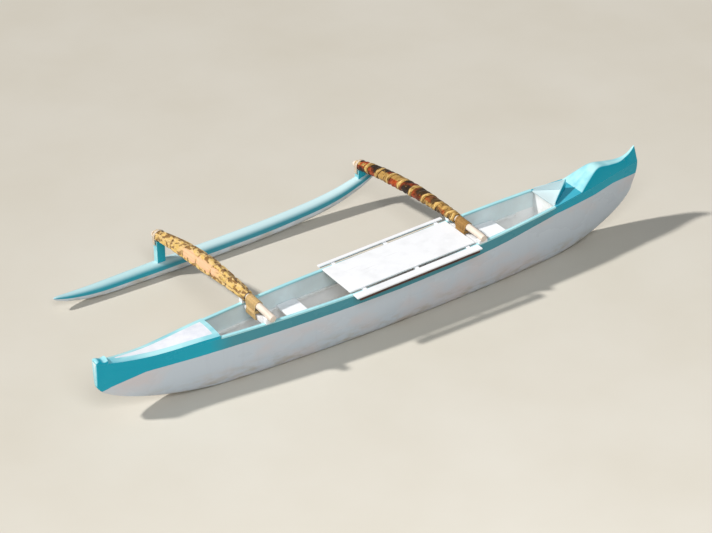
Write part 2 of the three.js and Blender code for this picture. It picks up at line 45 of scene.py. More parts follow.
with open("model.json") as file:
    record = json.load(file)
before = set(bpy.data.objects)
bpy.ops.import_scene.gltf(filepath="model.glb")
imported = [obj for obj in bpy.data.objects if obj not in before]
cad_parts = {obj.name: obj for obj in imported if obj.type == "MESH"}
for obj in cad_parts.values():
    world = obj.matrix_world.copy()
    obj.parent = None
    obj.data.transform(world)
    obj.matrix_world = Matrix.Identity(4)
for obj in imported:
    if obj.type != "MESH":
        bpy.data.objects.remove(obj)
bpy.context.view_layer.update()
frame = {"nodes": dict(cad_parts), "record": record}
NODES = frame["nodes"]
BODY = "root"

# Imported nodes: corners closer than this are one, and edges sharper than this are rounded
WELD_DISTANCE = 0.00005
BEVEL_ANGLE = 40

# The hull's lines: breadths and heights in metres, with one set of values for each end
HALF_BREADTH = 0.277
BOTTOM_HALF = 0.120
BOTTOM_END_HALF = 0.020
LEAST_HALF = 0.003
SIDE_FLARE = 0.06
WALL = 0.012
LEAST_WALL = 0.002
BOTTOM_WALL = 0.016
SECTION_POWER = 5.0
END_SECTION_POWER = 2.2
SHEER_MIDDLE = 0.556
FOOT_POWER = 1.7
BOW = {"length": 3.1, "plan": 2.6, "ease": 1.0, "stem_half": 0.032, "foot_from": 1.95,
       "foot_rise": 0.45, "rise": 0.162, "rise_power": 1.2, "well_end": 2.95}
STERN = {"length": 3.17, "plan": 2.2, "ease": 1.35, "stem_half": 0.046, "foot_from": 1.8,
         "foot_rise": 0.42, "rise": 0.11, "rise_power": 9.0, "well_end": 3.0}
STEM_BULGE = {"from": 2.8, "low": 0.45, "high": 0.9, "out": 0.0496}
STEM_ROUND = 0.012

# The hull's grid: stations in each half and round each stem, points down each side, and the
# short step of the loft that ends the well
HULL_GRID = {"half": 130, "stem": 9, "side": 40, "step": 1e-5}

# Where turquoise meets white on the hull's sides: place along the hull, height
PAINT_EDGE = np.array([
    (-3.17, 0.328), (-3.03, 0.378), (-2.70, 0.434), (-2.12, 0.430), (-1.42, 0.438), (0.00, 0.443),
    (0.90, 0.472), (1.28, 0.500), (1.60, 0.538), (1.95, 0.572), (2.50, 0.580), (2.77, 0.605),
    (3.16, 0.580),
])
# How far under the sheer the inner stringers lie, with a cyan-grey band over them
RISER_BELOW = 0.19

# Rails and decks: FIT is the gap under them, and FOOT_ROUND the radius of their lower corners
FIT = 0.0003
FOOT_ROUND = 0.001
RAIL = {"overhang": 0.008, "inboard": 0.028, "thick": 0.018, "from": -1.955, "to": 1.93,
        "round": 0.008, "foot_round": 0.002}
AFT_DECK = {"from": -3.055, "to": -1.96, "edge": 0.008, "lift": 0.024, "camber": 0.018,
            "level_from": -2.7, "level_to": -2.02, "side_drop": 0.004, "top_share": 0.985}
AFT_PANEL = {"from": -2.96, "to": -2.01, "border": 0.055}
FOREDECK = {"from": 1.935, "to": 2.3, "thick": 0.014, "round": 0.005}
BREAKWATER = {"apex": 2.21, "run": 0.27, "side": 0.176}
# Ridges: place along the hull, height
STERN_RIDGE = np.array([(-3.17, 0.690), (-3.145, 0.699), (-3.095, 0.678), (-3.0553, 0.690)])
BOW_RIDGE = np.array([(2.303, 0.684), (2.420, 0.764), (2.570, 0.838), (2.740, 0.814),
                      (2.890, 0.797), (3.000, 0.830), (3.100, 0.900)])
# Their sections: how high the shoulder is, how far the top's edge lies under the ridge, and for
# the bow how far the shoulder leans in, for each metre of height and at most
STERN_TIP = {"shoulder": 0.6, "drop": 0.006, "round": 0.03}
BOW_TOP = {"shoulder": 0.94, "drop": 0.001, "round": 0.02, "lean": 0.36, "most": 0.62}
TOP_SHARE = 0.6

# Beams: axis as a Bezier curve of (y, z), cloth radius at its ends and at its middle
BEAM_RADIUS = 0.036
BEAMS = {
    "front": {"x": 0.97, "axis": [(-0.290, 0.668), (0.43, 0.700), (1.25, 0.646), (1.94, 0.448)],
              "snug": 0.054, "wrap": 0.070},
    "rear": {"x": -1.46, "axis": [(-0.290, 0.646), (0.43, 0.680), (1.25, 0.628), (1.94, 0.428)],
             "snug": 0.056, "wrap": 0.088},
}
POLE = {"inset": 0.002, "chamfer": 0.004, "chamfer_run": 0.006, "knot": 0.0006}

# Cloths: where they lie along the beams, their thickness, how fast their ends draw in, and the
# depths of their laps and folds
CLOTH = {"from": 0.15, "to": 1.89, "thick": 0.0018, "tuck": 0.012}
FRONT_CLOTH = {"sunk": 0.009, "lap": 0.008, "end_lap": 0.003, "pleat": 0.0032, "swell": 0.0012,
               "crease": 0.0011, "start": 0.4}
REAR_CLOTH = {"sunk": 0.004, "under": 0.011, "rounds": 1.22, "fold": 0.0042, "crease": 0.0022,
              "crinkle": 0.0012, "start": 3.6}
TIES = {"count": 7, "from": 0.21, "to": 1.76, "dip": 0.010, "reach": 0.022, "cord": 0.6,
        "sunk": 0.0085}

# Cord: three strands, with the length of their lay and their core and lobes as shares of its
# diameter and radius
CORD = {"sides": 12, "lay": 3.2, "core": 0.9, "lobe": 0.14}
HULL_LASHING = {"y": 0.045, "width": 0.17, "slack": 0.001, "stray": 0.0012}
FRAPPING = {"turns": 4, "draw": 0.18, "power": 6, "reach": 0.024}
FLOAT_LASHING = {"width": 0.04, "sunk": 0.001}
LASHING_CORNER = 0.010

# Screw heads across each board, at each bearer
SCREWS = {"platform_centre_board": 4, "platform_side_board_port": 1,
          "platform_side_board_starboard": 1}
SCREW = {"radius": 0.006, "height": 0.0009}

# Float, with its stations: place along it, height of the section's centre, share of its size
FLOAT = {"y": 1.84, "wide": 0.17, "high": 0.18, "nose": 0.03, "edge": 0.008, "edge_wave": 0.0015}
FLOAT_STATIONS = np.array([
    (-2.66, 0.146, 0.12), (-2.60, 0.132, 0.30), (-2.48, 0.108, 0.50), (-2.25, 0.084, 0.72),
    (-1.95, 0.0774, 0.86), (-1.20, 0.0873, 0.97), (-0.70, 0.092, 1.00), (-0.20, 0.108, 1.00),
    (0.30, 0.142, 0.97), (0.65, 0.194, 0.90), (0.90, 0.264, 0.80), (1.06, 0.322, 0.64),
    (1.14, 0.354, 0.42), (1.17, 0.368, 0.20),
])

# The stage: the camera's place and aim in the model's frame, and the lamps
CAMERA = {"place": (-10.03, -14.12, 11.70), "aim": (-0.02, 0.47, 0.30), "roll": 0.18,
          "lens": 108.0, "clip": 200}
SUN = {"place": (-9.1, 4.27, 9.66), "aim": (0.0, 0.0, 0.0), "power": 3.0, "spread": 4,
       "colour": (1.0, 0.98, 0.95)}
FILL = {"place": (-5.6, -9.5, 11.4), "aim": (0.0, 0.6, 0.2), "power": 950, "size": 8.0,
        "colour": (0.92, 0.96, 1.0)}
SKY = {"colour": (0.92, 0.96, 1.0, 1.0), "strength": 0.2}

# The way that the pale turquoise faces, as the canoe lies with its stern to the sun: painted
# sunlight as well as chalked paint
SUNLIT_AND_CHALKED_SIDE = (-0.62, 0.12, 0.775)

# Enamel over glass cloth, tones that more than one finish has, and the stretches that draw a
# pattern out along the hull
GLASS_ENAMEL = {"IOR": 1.5, "Specular_IOR_Level": 0.2, "Coat_Weight": 0.08, "Coat_Roughness": 0.15}
GREYED_TURQUOISE = "588E97"
SAND_SCUFF = "B3A58A"
FINE_ALONG = (0.05, 1, 1)
LONG_ALONG = (0.35, 1, 1)

# Coloured threads on the front cloth, from and to in metres across it, and its printed band; the
# palest thread, F0D08A, is a painted highlight as well as a thread
FRONT_THREADS_AND_HIGHLIGHT = ((0.020, 0.028, "7A5122"), (0.062, 0.070, "F0D08A"), (0.084, 0.090, "5B3A16"),
                 (0.238, 0.255, "E3BC62"))
FRONT_BAND = {"from": 0.084, "to": 0.236}


def linear(code):
    """An sRGB hex colour as linear red, green, blue and full alpha."""
    srgb = np.array([int(code[i:i + 2], 16) for i in (0, 2, 4)]) / 255
    mixed = np.where(srgb <= 0.04045, srgb / 12.92, ((srgb + 0.055) / 1.055) ** 2.4)
    return (*mixed.tolist(), 1.0)


def colour_of(name, description, code):
    """A colour that the user can change, from its hex default."""
    return bpy.props.FloatVectorProperty(name=name, description=description, subtype="COLOR",
                                         size=4, min=0, max=1, default=linear(code))


def length_of(name, description, default, low, high):
    """A length in metres that the user can change between two limits."""
    return bpy.props.FloatProperty(name=name, description=description, unit="LENGTH",
                                   default=default, min=low, max=high)


class CanoeColours(bpy.types.PropertyGroup):
    """Colours of the canoe's paints, woods, cloth and cords."""

    white_paint: colour_of("White paint", "Gloss enamel on the lower hull and float", "D0D9E2")
    turquoise_paint: colour_of(
        "Turquoise paint", "Gloss enamel on the upper hull, rails, decks and float", "00A9C3")
    # pale turquoise where faces look toward the sun: painted sunlight as well as chalked paint
    lit_and_chalked_paint: colour_of(
        "Sunned paint", "Turquoise enamel where the sun has chalked it", "BFF0F3")
    inner_paint: colour_of("Inner paint", "Satin paint inside the hull", "F9FAFA")
    board_white: colour_of("Board white", "Exterior paint on seats, boards and saddles", "FAFAFC")
    bare_wood: colour_of("Bare wood", "Peeled poles of the beams", "F6E5D4")
    # dark enough to stand in for the shadow under the platform boards' overhang: painted shade as
    # well as wood
    dark_wood: colour_of("Dark wood", "Oiled strips under the platform's edges", "552A1F")
    tan_cloth: colour_of("Tan cloth", "Ground colour of the front beam's cloth", "CDA35A")
    brown_print: colour_of("Brown print", "Dark bands printed on the front cloth", "2C1A0A")
    orange_print: colour_of("Orange print", "Rust bands printed on the front cloth", "B2460F")
    yellow_cloth: colour_of("Yellow cloth", "Ground colour of the rear beam's cloth", "DDB766")
    peach_print: colour_of("Peach print", "Patch printed on the rear cloth", "F3C096")
    coir: colour_of("Coir", "Golden cord of the rear beam's lashing and cloth ties", "F0CB8B")
    aged_coir: colour_of("Aged coir", "Browner cord of the front beam's lashing", "C2934E")
    pale_cord: colour_of("Pale cord", "Cord on the float, bleached by sun and salt", "F6E2CA")


class CanoeSizes(bpy.types.PropertyGroup):
    """Sizes of the canoe's cloth, cord and edges, and of the stage."""

    cord: length_of("Cord", "Diameter of the coir cord", 0.008, 0.004, 0.012)
    cloth_turn: length_of(
        "Cloth turn", "How far the front cloth moves along its beam in a turn", 0.2, 0.12, 0.24)
    cloth_width: length_of(
        "Cloth width", "Width of the front cloth measured along its beam", 0.27, 0.2, 0.3)
    edge: length_of(
        "Edge rounding", "Width of the rounded edges on boards and blocks", 0.0025, 0.0, 0.005)
    floor: length_of("Floor", "Half the side of the pale floor", 60.0, 10.0, 200.0)


def lines_value(x, key):
    """The named value of the bow where x is forward, and of the stern where it is aft."""
    return np.where(x > 0, BOW[key], STERN[key])


def hull_lines(x):
    """The hull's half-breadth, bottom half-breadth, keel height, sheer height and power at x.

    Fullness is one less the plan power of the share of the way to the end; breadths grow with it.
    The keel rises at each end as a superellipse, and the sheer as a power of the same share.
    """
    x = np.asarray(x, float)
    length = lines_value(x, "length")
    along = np.clip(np.abs(x) / length, 0, 1)
    fullness = (1 - along ** lines_value(x, "plan")) ** lines_value(x, "ease")
    start = lines_value(x, "foot_from")
    foot = np.clip((np.abs(x) - start) / (length - start), 0, 1)
    stem = lines_value(x, "stem_half")
    return {
        "half": stem + (HALF_BREADTH - stem) * fullness,
        "bottom": BOTTOM_END_HALF + (BOTTOM_HALF - BOTTOM_END_HALF) * fullness,
        "keel": lines_value(x, "foot_rise") * (1 - (1 - foot ** FOOT_POWER) ** (1 / FOOT_POWER)),
        "sheer": SHEER_MIDDLE + lines_value(x, "rise") * along ** lines_value(x, "rise_power"),
        "power": SECTION_POWER + (END_SECTION_POWER - SECTION_POWER) * along ** 2,
    }


def smooth_step(value, low, high):
    """0 below low, 1 above high, and a smooth cubic rise between them."""
    share = np.clip((value - low) / (high - low), 0, 1)
    return share * share * (3 - 2 * share)


def stemmed(points):
    """Swells the stem forwards by a half sine of height, fading in towards the bow's end."""
    bulge = STEM_BULGE
    near = smooth_step(points[..., 0], bulge["from"], BOW["length"])
    up = np.clip((points[..., 2] - bulge["low"]) / (bulge["high"] - bulge["low"]), 0, 1)
    moved = points.copy()
    moved[..., 0] += bulge["out"] * near * np.sin(np.pi * up)
    return moved


def stem_inset(x):
    """How far the sides draw in at both ends, as a quarter circle round the stem's edges."""
    ahead = np.maximum(x - (BOW["length"] - STEM_ROUND), 0)
    behind = np.maximum(-x - (STERN["length"] - STEM_ROUND), 0)
    reach = np.clip(np.maximum(ahead, behind) / STEM_ROUND, 0, 1)
    return STEM_ROUND * (1 - np.sqrt(1 - reach ** 2))


def face_outwards(mesh):
    """Turns every face round where the mesh's signed volume is negative."""
    mesh.calc_loop_triangles()
    count = len(mesh.loop_triangles)
    places = np.empty(len(mesh.vertices) * 3, np.float32)
    corners = np.empty(count * 3, np.int32)
    mesh.vertices.foreach_get("co", places)
    mesh.loop_triangles.foreach_get("vertices", corners)
    a, b, c = places.reshape(-1, 3)[corners.reshape(-1, 3)].transpose(1, 0, 2)
    if (a * np.cross(b, c)).sum() < 0:
        mesh.flip_normals()


def grid_mesh(name, points, wrap=False, ring=False, uv=None, values=None, sharp=40.0):
    """A mesh of quads over points[row, column].

    wrap joins the last column to the first, and ring the last row to the first. With wrap and
    no ring, a fan closes each end. uv has one more column, or row, where they join, and isn't
    for a mesh with fans. values holds named numbers for each point. A wrapped mesh is turned so
    that it faces out.
    """
    rows, columns = points.shape[:2]
    row = np.arange(rows if ring else rows - 1)[:, None]
    column = np.arange(columns if wrap else columns - 1)[None, :]
    after, beside = (row + 1) % rows, (column + 1) % columns
    corners = [row * columns + column, row * columns + beside,
               after * columns + beside, after * columns + column]
    faces = np.stack(corners, -1).reshape(-1, 4).tolist()
    places = points.reshape(-1, 3)
    numbers = {key: value.reshape(-1) for key, value in (values or {}).items()}
    if wrap and not ring:
        for end in (0, rows - 1):
            hub = np.full(columns, len(places))
            places = np.vstack([places, points[end].mean(0)])
            edge = end * columns + np.arange(columns)
            nearby = np.roll(edge, -1)
            pair = (nearby, edge) if end == 0 else (edge, nearby)
            faces += np.stack([hub, *pair], -1).tolist()
            numbers = {key: np.append(v, v[edge].mean()) for key, v in numbers.items()}
    mesh = bpy.data.meshes.new(name)
    mesh.from_pydata(places, [], faces)
    if uv is not None:
        loops = np.stack([uv[row, column], uv[row, column + 1], uv[row + 1, column + 1],
                          uv[row + 1, column]], -2)
        mesh.uv_layers.new(name="UVMap").data.foreach_set("uv", loops.astype(np.float32).ravel())
    for key, value in numbers.items():
        layer = mesh.attributes.new(key, "FLOAT", "POINT")
        layer.data.foreach_set("value", value.astype(np.float32))
    if wrap:
        face_outwards(mesh)
    mesh.polygons.foreach_set("use_smooth", np.ones(len(mesh.polygons), bool))
    mesh.set_sharp_from_angle(angle=math.radians(sharp))
    mesh.update()
    piece = bpy.data.objects.new(name, mesh)
    bpy.context.scene.collection.objects.link(piece)
    return piece


def joined(name, pieces):
    """Several objects' meshes as one object."""
    with bpy.context.temp_override(active_object=pieces[0], object=pieces[0],
                                   selected_objects=pieces, selected_editable_objects=pieces):
        bpy.ops.object.join()
    pieces[0].name = name
    pieces[0].data.name = name
    return pieces[0]


def rounded(profile, radii, steps=4):
    """A closed profile, points[row, corner, 2], with each corner rounded.

    Each corner becomes a quadratic curve between points that lie its radius away along its two
    edges, at most 0.45 of an edge.
    """
    before = np.roll(profile, 1, axis=1) - profile
    after = np.roll(profile, -1, axis=1) - profile
    radii = np.asarray(radii, float)[None, :, None]
    starts, ends = [], []
    for edge, kept in ((before, starts), (after, ends)):
        length = np.linalg.norm(edge, axis=2, keepdims=True)
        kept.append(profile + edge / length * np.minimum(radii, 0.45 * length))
    share = np.linspace(0, 1, steps + 1)[None, None, :, None]
    start, corner, end = starts[0][:, :, None], profile[:, :, None], ends[0][:, :, None]
    curve = (1 - share) ** 2 * start + 2 * share * (1 - share) * corner + share ** 2 * end
    return curve.reshape(len(profile), -1, 2)


def along_hull(x, profile):
    """Points at places x from their profile of (y, z), with the stem's swell."""
    spread = np.broadcast_to(np.asarray(x)[:, None], profile.shape[:2])
    return stemmed(np.concatenate([spread[..., None], profile], -1))


def keep(piece, *nodes, slot, material):
    """Gives a new piece its material, and puts it on the body in place of the named nodes."""
    piece.data.materials.append(material)
    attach(piece, BODY)
    if nodes:
        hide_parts(*nodes)
    return piece


def finish_nodes(names, material, edge):
    """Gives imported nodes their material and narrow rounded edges."""
    for name in names:
        node = NODES[name]
        for slot in node.material_slots:
            slot.material = material
        weld = node.modifiers.new("Weld", "WELD")
        weld.merge_threshold = WELD_DISTANCE
        bevel = node.modifiers.new("Rounded edges", "BEVEL")
        bevel.width = edge
        bevel.segments = 3
        bevel.limit_method = "ANGLE"
        bevel.angle_limit = math.radians(BEVEL_ANGLE)
        bevel.use_clamp_overlap = True


def add_node(tree, kind, sockets=None, **settings):
    """Adds a shader node and returns its outputs.

    settings are its options, and sockets its inputs' values or links.
    """
    node = tree.nodes.new(kind)
    for option, value in settings.items():
        setattr(node, option, value)
    for socket, value in (sockets or {}).items():
        if isinstance(value, bpy.types.NodeSocket):
            tree.links.new(value, node.inputs[socket])
        else:
            node.inputs[socket].default_value = value
    return node.outputs


def start_material(name, **uniform):
    """A new material: itself, its tree and the piece's own coordinates in metres."""
    material = bpy.data.materials.new(name)
    material.use_nodes = True
    tree = material.node_tree
    shader = tree.nodes["Principled BSDF"]
    for socket, value in uniform.items():
        shader.inputs[socket.replace("_", " ")].default_value = value
    return material, tree, add_node(tree, "ShaderNodeTexCoord")["Object"]


def per_metre(size):
    """How many lengths of that size in millimetres a metre holds: a noise's scale."""
    return 1000 / size


def spots(tree, where, size, low, high, detail=4.0, stretch=(1, 1, 1)):
    """A mask from noise with cells of that size in millimetres: 1 over high, and 0 below low.

    A stretch below one draws the cells out along that axis.
    """
    placed = add_node(tree, "ShaderNodeMapping", {"Vector": where, "Scale": stretch})
    noise = add_node(tree, "ShaderNodeTexNoise", {
        "Vector": placed[0], "Scale": per_metre(size), "Detail": detail})
    return add_node(tree, "ShaderNodeMapRange", {
        "Value": noise["Fac"], "From Min": low, "From Max": high})[0]


def layered(tree, colour, *layers):
    """Colours laid over the first one in turn, each as (colour, mask, the most that it covers).

    A colour is a hex code, a linear colour or a socket.
    """
    for over, mask, most in layers:
        share = add_node(tree, "ShaderNodeMath", {0: mask, 1: most}, operation="MULTIPLY")[0]
        under, over = (linear(c) if isinstance(c, str) else c for c in (colour, over))
        colour = add_node(tree, "ShaderNodeMix", {0: share, 6: under, 7: over},
                          data_type="RGBA")[2]
    return colour


def facing(tree, way, low, high):
    """A mask that rises from 0 to 1 as the surface turns to face that way."""
    normal = add_node(tree, "ShaderNodeNewGeometry")["Normal"]
    turned = add_node(tree, "ShaderNodeVectorMath", {0: normal, 1: way}, operation="DOT_PRODUCT")
    return add_node(tree, "ShaderNodeMapRange", {
        "Value": turned["Value"], "From Min": low, "From Max": high})[0]


def stripe(tree, value, low, high, soft):
    """A mask that is 1 where the value lies between low and high, with soft edges."""
    rise = add_node(tree, "ShaderNodeMapRange", {
        "Value": value, "From Min": low - soft, "From Max": low + soft})[0]
    fall = add_node(tree, "ShaderNodeMapRange", {
        "Value": value, "From Min": high + soft, "From Max": high - soft})[0]
    return add_node(tree, "ShaderNodeMath", {0: rise, 1: fall}, operation="MULTIPLY")[0]


def dressed(material, colour, wear, relief):
    """Links a material's colour, roughness and relief to its shader, and returns the material.

    Wear is a mask with the roughness where it is 0 and where it is 1. Relief is a list of
    heights from 0 to 1, each with the metres that it spans.
    """
    tree = material.node_tree
    shader = tree.nodes["Principled BSDF"]
    mask, smooth, rough = wear
    roughness = add_node(tree, "ShaderNodeMapRange", {
        "Value": mask, "To Min": smooth, "To Max": rough})[0]
    normal = None
    for height, depth in relief:
        sockets = {"Height": height, "Distance": depth, "Strength": 1.0}
        if normal is not None:
            sockets["Normal"] = normal
        normal = add_node(tree, "ShaderNodeBump", sockets)[0]
    for socket, value in (("Base Color", colour), ("Roughness", roughness), ("Normal", normal)):
        tree.links.new(value, shader.inputs[socket])
    return material


def shade(colour, amount):
    """The colour darkened, or lightened where amount is over one."""
    return (*[min(1.0, c * amount) for c in colour[:3]], 1.0)


def lit_and_chalked_turquoise(tree, where, colours, least=0.0, most=0.95):
    """Turquoise enamel, pale where it faces up and aft toward the sun, and faded in soft patches.

    The pale is painted sunlight as well as chalked paint. least and most are how far it covers what
    faces away and what faces the sun. Returns the colour and the faded patches' mask.
    """
    faded = spots(tree, where, 417, 0.42, 0.8, 6.0, (0.5, 1, 1))
    streaked = spots(tree, where, 111, 0.3, 0.6, 4.0, (0.3, 1, 1))
    # the pale, painted sunlight as well as chalk, comes in streaks and lies on faces toward the sun
    chalk = add_node(tree, "ShaderNodeMapRange", {
        "Value": streaked, "To Min": most / 2, "To Max": most})[0]
    chalk = add_node(tree, "ShaderNodeMath", {0: facing(tree, SUNLIT_AND_CHALKED_SIDE, 0.35, 0.7), 1: chalk},
                     operation="MULTIPLY")[0]
    chalk = add_node(tree, "ShaderNodeMath", {0: chalk, 1: least}, operation="MAXIMUM")[0]
    colour = layered(tree, colours.turquoise_paint, ("2FBECE", faded, 0.5),
                     (colours.lit_and_chalked_paint, chalk, 1))
    return colour, faded


def hull_enamel(colours):
    """Gloss marine enamel over glass cloth, brushed by hand: white below, turquoise above.

    The eye gets long soft reflections, a hand-cut paint edge, sand scuffs low down, faded patches,
    pale turquoise toward the sun, which is painted sunlight as well as chalk, and greyer turquoise
    along the stretch of the cap rails. Inside it is thin satin paint, with sand and dust on the
    floor.
    """
    material, tree, where = start_material("marine_enamel_on_glass_hull", **GLASS_ENAMEL)
    above, inside, depth = [
        add_node(tree, "ShaderNodeAttribute", attribute_name=name)["Fac"]
        for name in ("above_edge", "inside", "depth")]
    place = add_node(tree, "ShaderNodeSeparateXYZ", {0: where})
    # the brush wanders by a millimetre or two over each 111 mm of the edge, which is 1.2 mm soft
    wander = add_node(tree, "ShaderNodeTexNoise", {
        "Vector": where, "Scale": per_metre(111), "Detail": 2.0})
    wavy = add_node(tree, "ShaderNodeMath", {0: wander["Fac"], 1: 0.006, 2: above},
                    operation="MULTIPLY_ADD")[0]
    upper = add_node(tree, "ShaderNodeMapRange", {
        "Value": wavy, "From Min": 0.0024, "From Max": 0.0036})[0]
    # scuffs end 220 mm up, and inside the sand thins out between 50 and 240 mm
    low = add_node(tree, "ShaderNodeMapRange", {
        "Value": place["Z"], "From Min": 0.22, "From Max": 0.0})[0]
    scuffs = add_node(tree, "ShaderNodeMath", {
        0: spots(tree, where, 62.5, 0.46, 0.66, 9.0, LONG_ALONG), 1: low},
        operation="MULTIPLY")[0]
    lower = layered(tree, colours.white_paint,
                    ("C6CDD6", spots(tree, where, 50, 0.55, 0.85, 5.0, (1, 1, 0.08)), 0.35),
                    ("DFCFCC", spots(tree, where, 312.5, 0.45, 0.7, 5.0, (0.6, 1, 1)), 0.6),
                    (SAND_SCUFF, scuffs, 0.75))
    # pale toward the sun: painted sunlight as well as chalk
    top, faded = lit_and_chalked_turquoise(tree, where, colours)
    # greyer turquoise along the stretch of the cap rails
    beside_rails = stripe(tree, place["X"], RAIL["from"], RAIL["to"], 0.12)
    top = layered(tree, top, (GREYED_TURQUOISE, beside_rails, 0.7))

    sand = spots(tree, where, 83.3, 0.34, 0.64, 9.0)
    floor = add_node(tree, "ShaderNodeMapRange", {
        "Value": place["Z"], "From Min": 0.24, "From Max": 0.05})[0]
    sanded = add_node(tree, "ShaderNodeMath", {0: sand, 1: floor}, operation="MULTIPLY")[0]
    # cyan-grey band on the inner walls above the stringers
    high = add_node(tree, "ShaderNodeMapRange", {
        "Value": depth, "From Min": RISER_BELOW + 0.002, "From Max": RISER_BELOW - 0.002})[0]
    inner = layered(tree, colours.inner_paint, ("DDF0F1", high, 0.7),
                    ("D3D2CF", sand, 0.15), ("DCC3A6", sanded, 0.7))
    colour = layered(tree, lower, (top, upper, 1), (inner, inside, 1))
    wear = add_node(tree, "ShaderNodeMath", {0: faded, 1: inside}, operation="MAXIMUM")[0]
    fair = add_node(tree, "ShaderNodeTexNoise", {
        "Vector": where, "Scale": per_metre(500), "Detail": 1.0})
    brushed = spots(tree, where, 11.1, 0.2, 0.8, 3.0, FINE_ALONG)
    return dressed(material, colour, (wear, 0.22, 0.5), [(fair["Fac"], 0.002), (brushed, 0.0002)])


def inside_breakwater(tree, where):
    """A mask of the foredeck between the two breakwaters, from their lines in plan, 3 mm soft."""
    place = add_node(tree, "ShaderNodeSeparateXYZ", {0: where})
    aside = add_node(tree, "ShaderNodeMath", {0: place["Y"]}, operation="ABSOLUTE")[0]
    line = add_node(tree, "ShaderNodeMath", {
        0: aside, 1: BREAKWATER["run"] / BREAKWATER["side"], 2: place["X"]},
        operation="MULTIPLY_ADD")[0]
    return add_node(tree, "ShaderNodeMapRange", {
        "Value": line, "From Min": BREAKWATER["apex"], "From Max": BREAKWATER["apex"] - 0.003,
    })[0]


def aft_faces(tree, where):
    """A mask of the faces that look aft."""
    return facing(tree, (-1.0, 0.0, 0.0), 0.2, 0.3)


def deck_enamel(colours, name, panel=False, inner_white=None, least=0.0, most=0.95):
    """Gloss turquoise enamel on wood, brushed along the hull.

    The eye gets a wet shine, faint brush marks, sun-faded patches, small chips that show the pale
    primer, and pale turquoise on faces toward the sun, which is painted sunlight as well as chalk.
    With panel, an inset of white non-slip paint with fine grit in it. inner_white makes a mask, from
    the tree and its coordinates, of what is painted pale. least and most are how far the pale
    turquoise covers.
    """
    material, tree, where = start_material(name, IOR=1.5, Specular_IOR_Level=0.2,
                                           Coat_Weight=0.1, Coat_Roughness=0.12)
    colour, wear = lit_and_chalked_turquoise(tree, where, colours, least, most)
    if inner_white is not None:
        colour = layered(tree, colour, ("D3E4E7", inner_white(tree, where), 1))
    relief = [(spots(tree, where, 8.33, 0.2, 0.8, 3.0, FINE_ALONG), 0.00025)]
    if panel:
        border = add_node(tree, "ShaderNodeAttribute", attribute_name="border")["Fac"]
        edge = AFT_PANEL["border"]
        inset = add_node(tree, "ShaderNodeMapRange", {
            "Value": border, "From Min": edge - 0.0015, "From Max": edge + 0.0015})[0]
        pale = layered(tree, "F3F3F8", ("D3D9E6", spots(tree, where, 111, 0.45, 0.75, 8.0), 0.6))
        colour = layered(tree, colour, (pale, inset, 1))
        wear = add_node(tree, "ShaderNodeMath", {0: wear, 1: inset}, operation="MAXIMUM")[0]
        # the grit is 2.5 mm here, coarser than real so that it shows
        grit = add_node(tree, "ShaderNodeMath", {
            0: spots(tree, where, 2.5, 0.4, 0.6, 2.0), 1: inset}, operation="MULTIPLY")[0]
        relief.append((grit, 0.0003))
    colour = layered(tree, colour, ("DDE6E4", spots(tree, where, 18.18, 0.735, 0.745, 5.0), 0.9))
    return dressed(material, colour, (wear, 0.2, 0.45), relief)


def satin_paint(colours):
    """Pale satin paint on plywood and stringers, rubbed and dusty: broad dull highlights."""
    material, tree, where = start_material("satin_paint_on_plywood", IOR=1.48)
    dust = spots(tree, where, 90.9, 0.42, 0.72, 8.0)
    grain = spots(tree, where, 16.67, 0.3, 0.7, 4.0, (1, 0.08, 1))
    return dressed(material, layered(tree, colours.inner_paint, ("B9B4A6", dust, 0.4)),
                   (dust, 0.42, 0.6), [(grain, 0.0003)])


def board_paint(colours, stretch, name):
    """White exterior paint on planed boards, with the grain just showing through.

    The eye gets a clean white with faint long ridges, grey foot scuffs and a soft sheen.
    """
    material, tree, where = start_material(name, IOR=1.48, Coat_Weight=0.12, Coat_Roughness=0.3)
    scuffed = spots(tree, where, 166.7, 0.5, 0.8, 9.0)
    colour = layered(tree, colours.board_white, ("D5D5D6", scuffed, 0.4),
                     ("B9B4AE", spots(tree, where, 33.33, 0.66, 0.74, 6.0, stretch), 0.3))
    grain = spots(tree, where, 14.29, 0.3, 0.7, 6.0, stretch)
    return dressed(material, colour, (scuffed, 0.3, 0.55), [(grain, 0.0005)])


def hardwood_dark_as_shadow(colours):
    """Oiled dark hardwood: close straight grain, with a low sheen on its ridges.

    Its dark tone also stands in for the shadow under the platform boards' overhang: painted shade.
    """
    material, tree, where = start_material("oiled_dark_hardwood", IOR=1.5)
    grain = spots(tree, where, 7.143, 0.35, 0.68, 8.0, FINE_ALONG)
    colour = layered(tree, colours.dark_wood, (shade(colours.dark_wood, 0.35), grain, 1))
    return dressed(material, colour, (grain, 0.4, 0.62), [(grain, 0.0006)])


def peeled_pole(colours):
    """Peeled and oiled pole: pale straight grain, brown knots and fine drying cracks."""
    material, tree, where = start_material("peeled_pole_wood", IOR=1.5)
    grain = spots(tree, where, 9.09, 0.35, 0.7, 8.0, (1, 0.06, 1))
    knots = spots(tree, where, 111, 0.66, 0.74, 2.0, (1, 0.7, 1))
    cracks = spots(tree, where, 16.67, 0.7, 0.73, 6.0, (1, 0.03, 1))
    colour = layered(tree, colours.bare_wood, (shade(colours.bare_wood, 0.7), grain, 0.8),
                     ("9A6B43", knots, 1), ("6E4A30", cracks, 1))
    sunk = add_node(tree, "ShaderNodeMath", {0: 1.0, 1: cracks}, operation="SUBTRACT")[0]
    return dressed(material, colour, (grain, 0.45, 0.65), [(grain, 0.0006), (sunk, 0.001)])


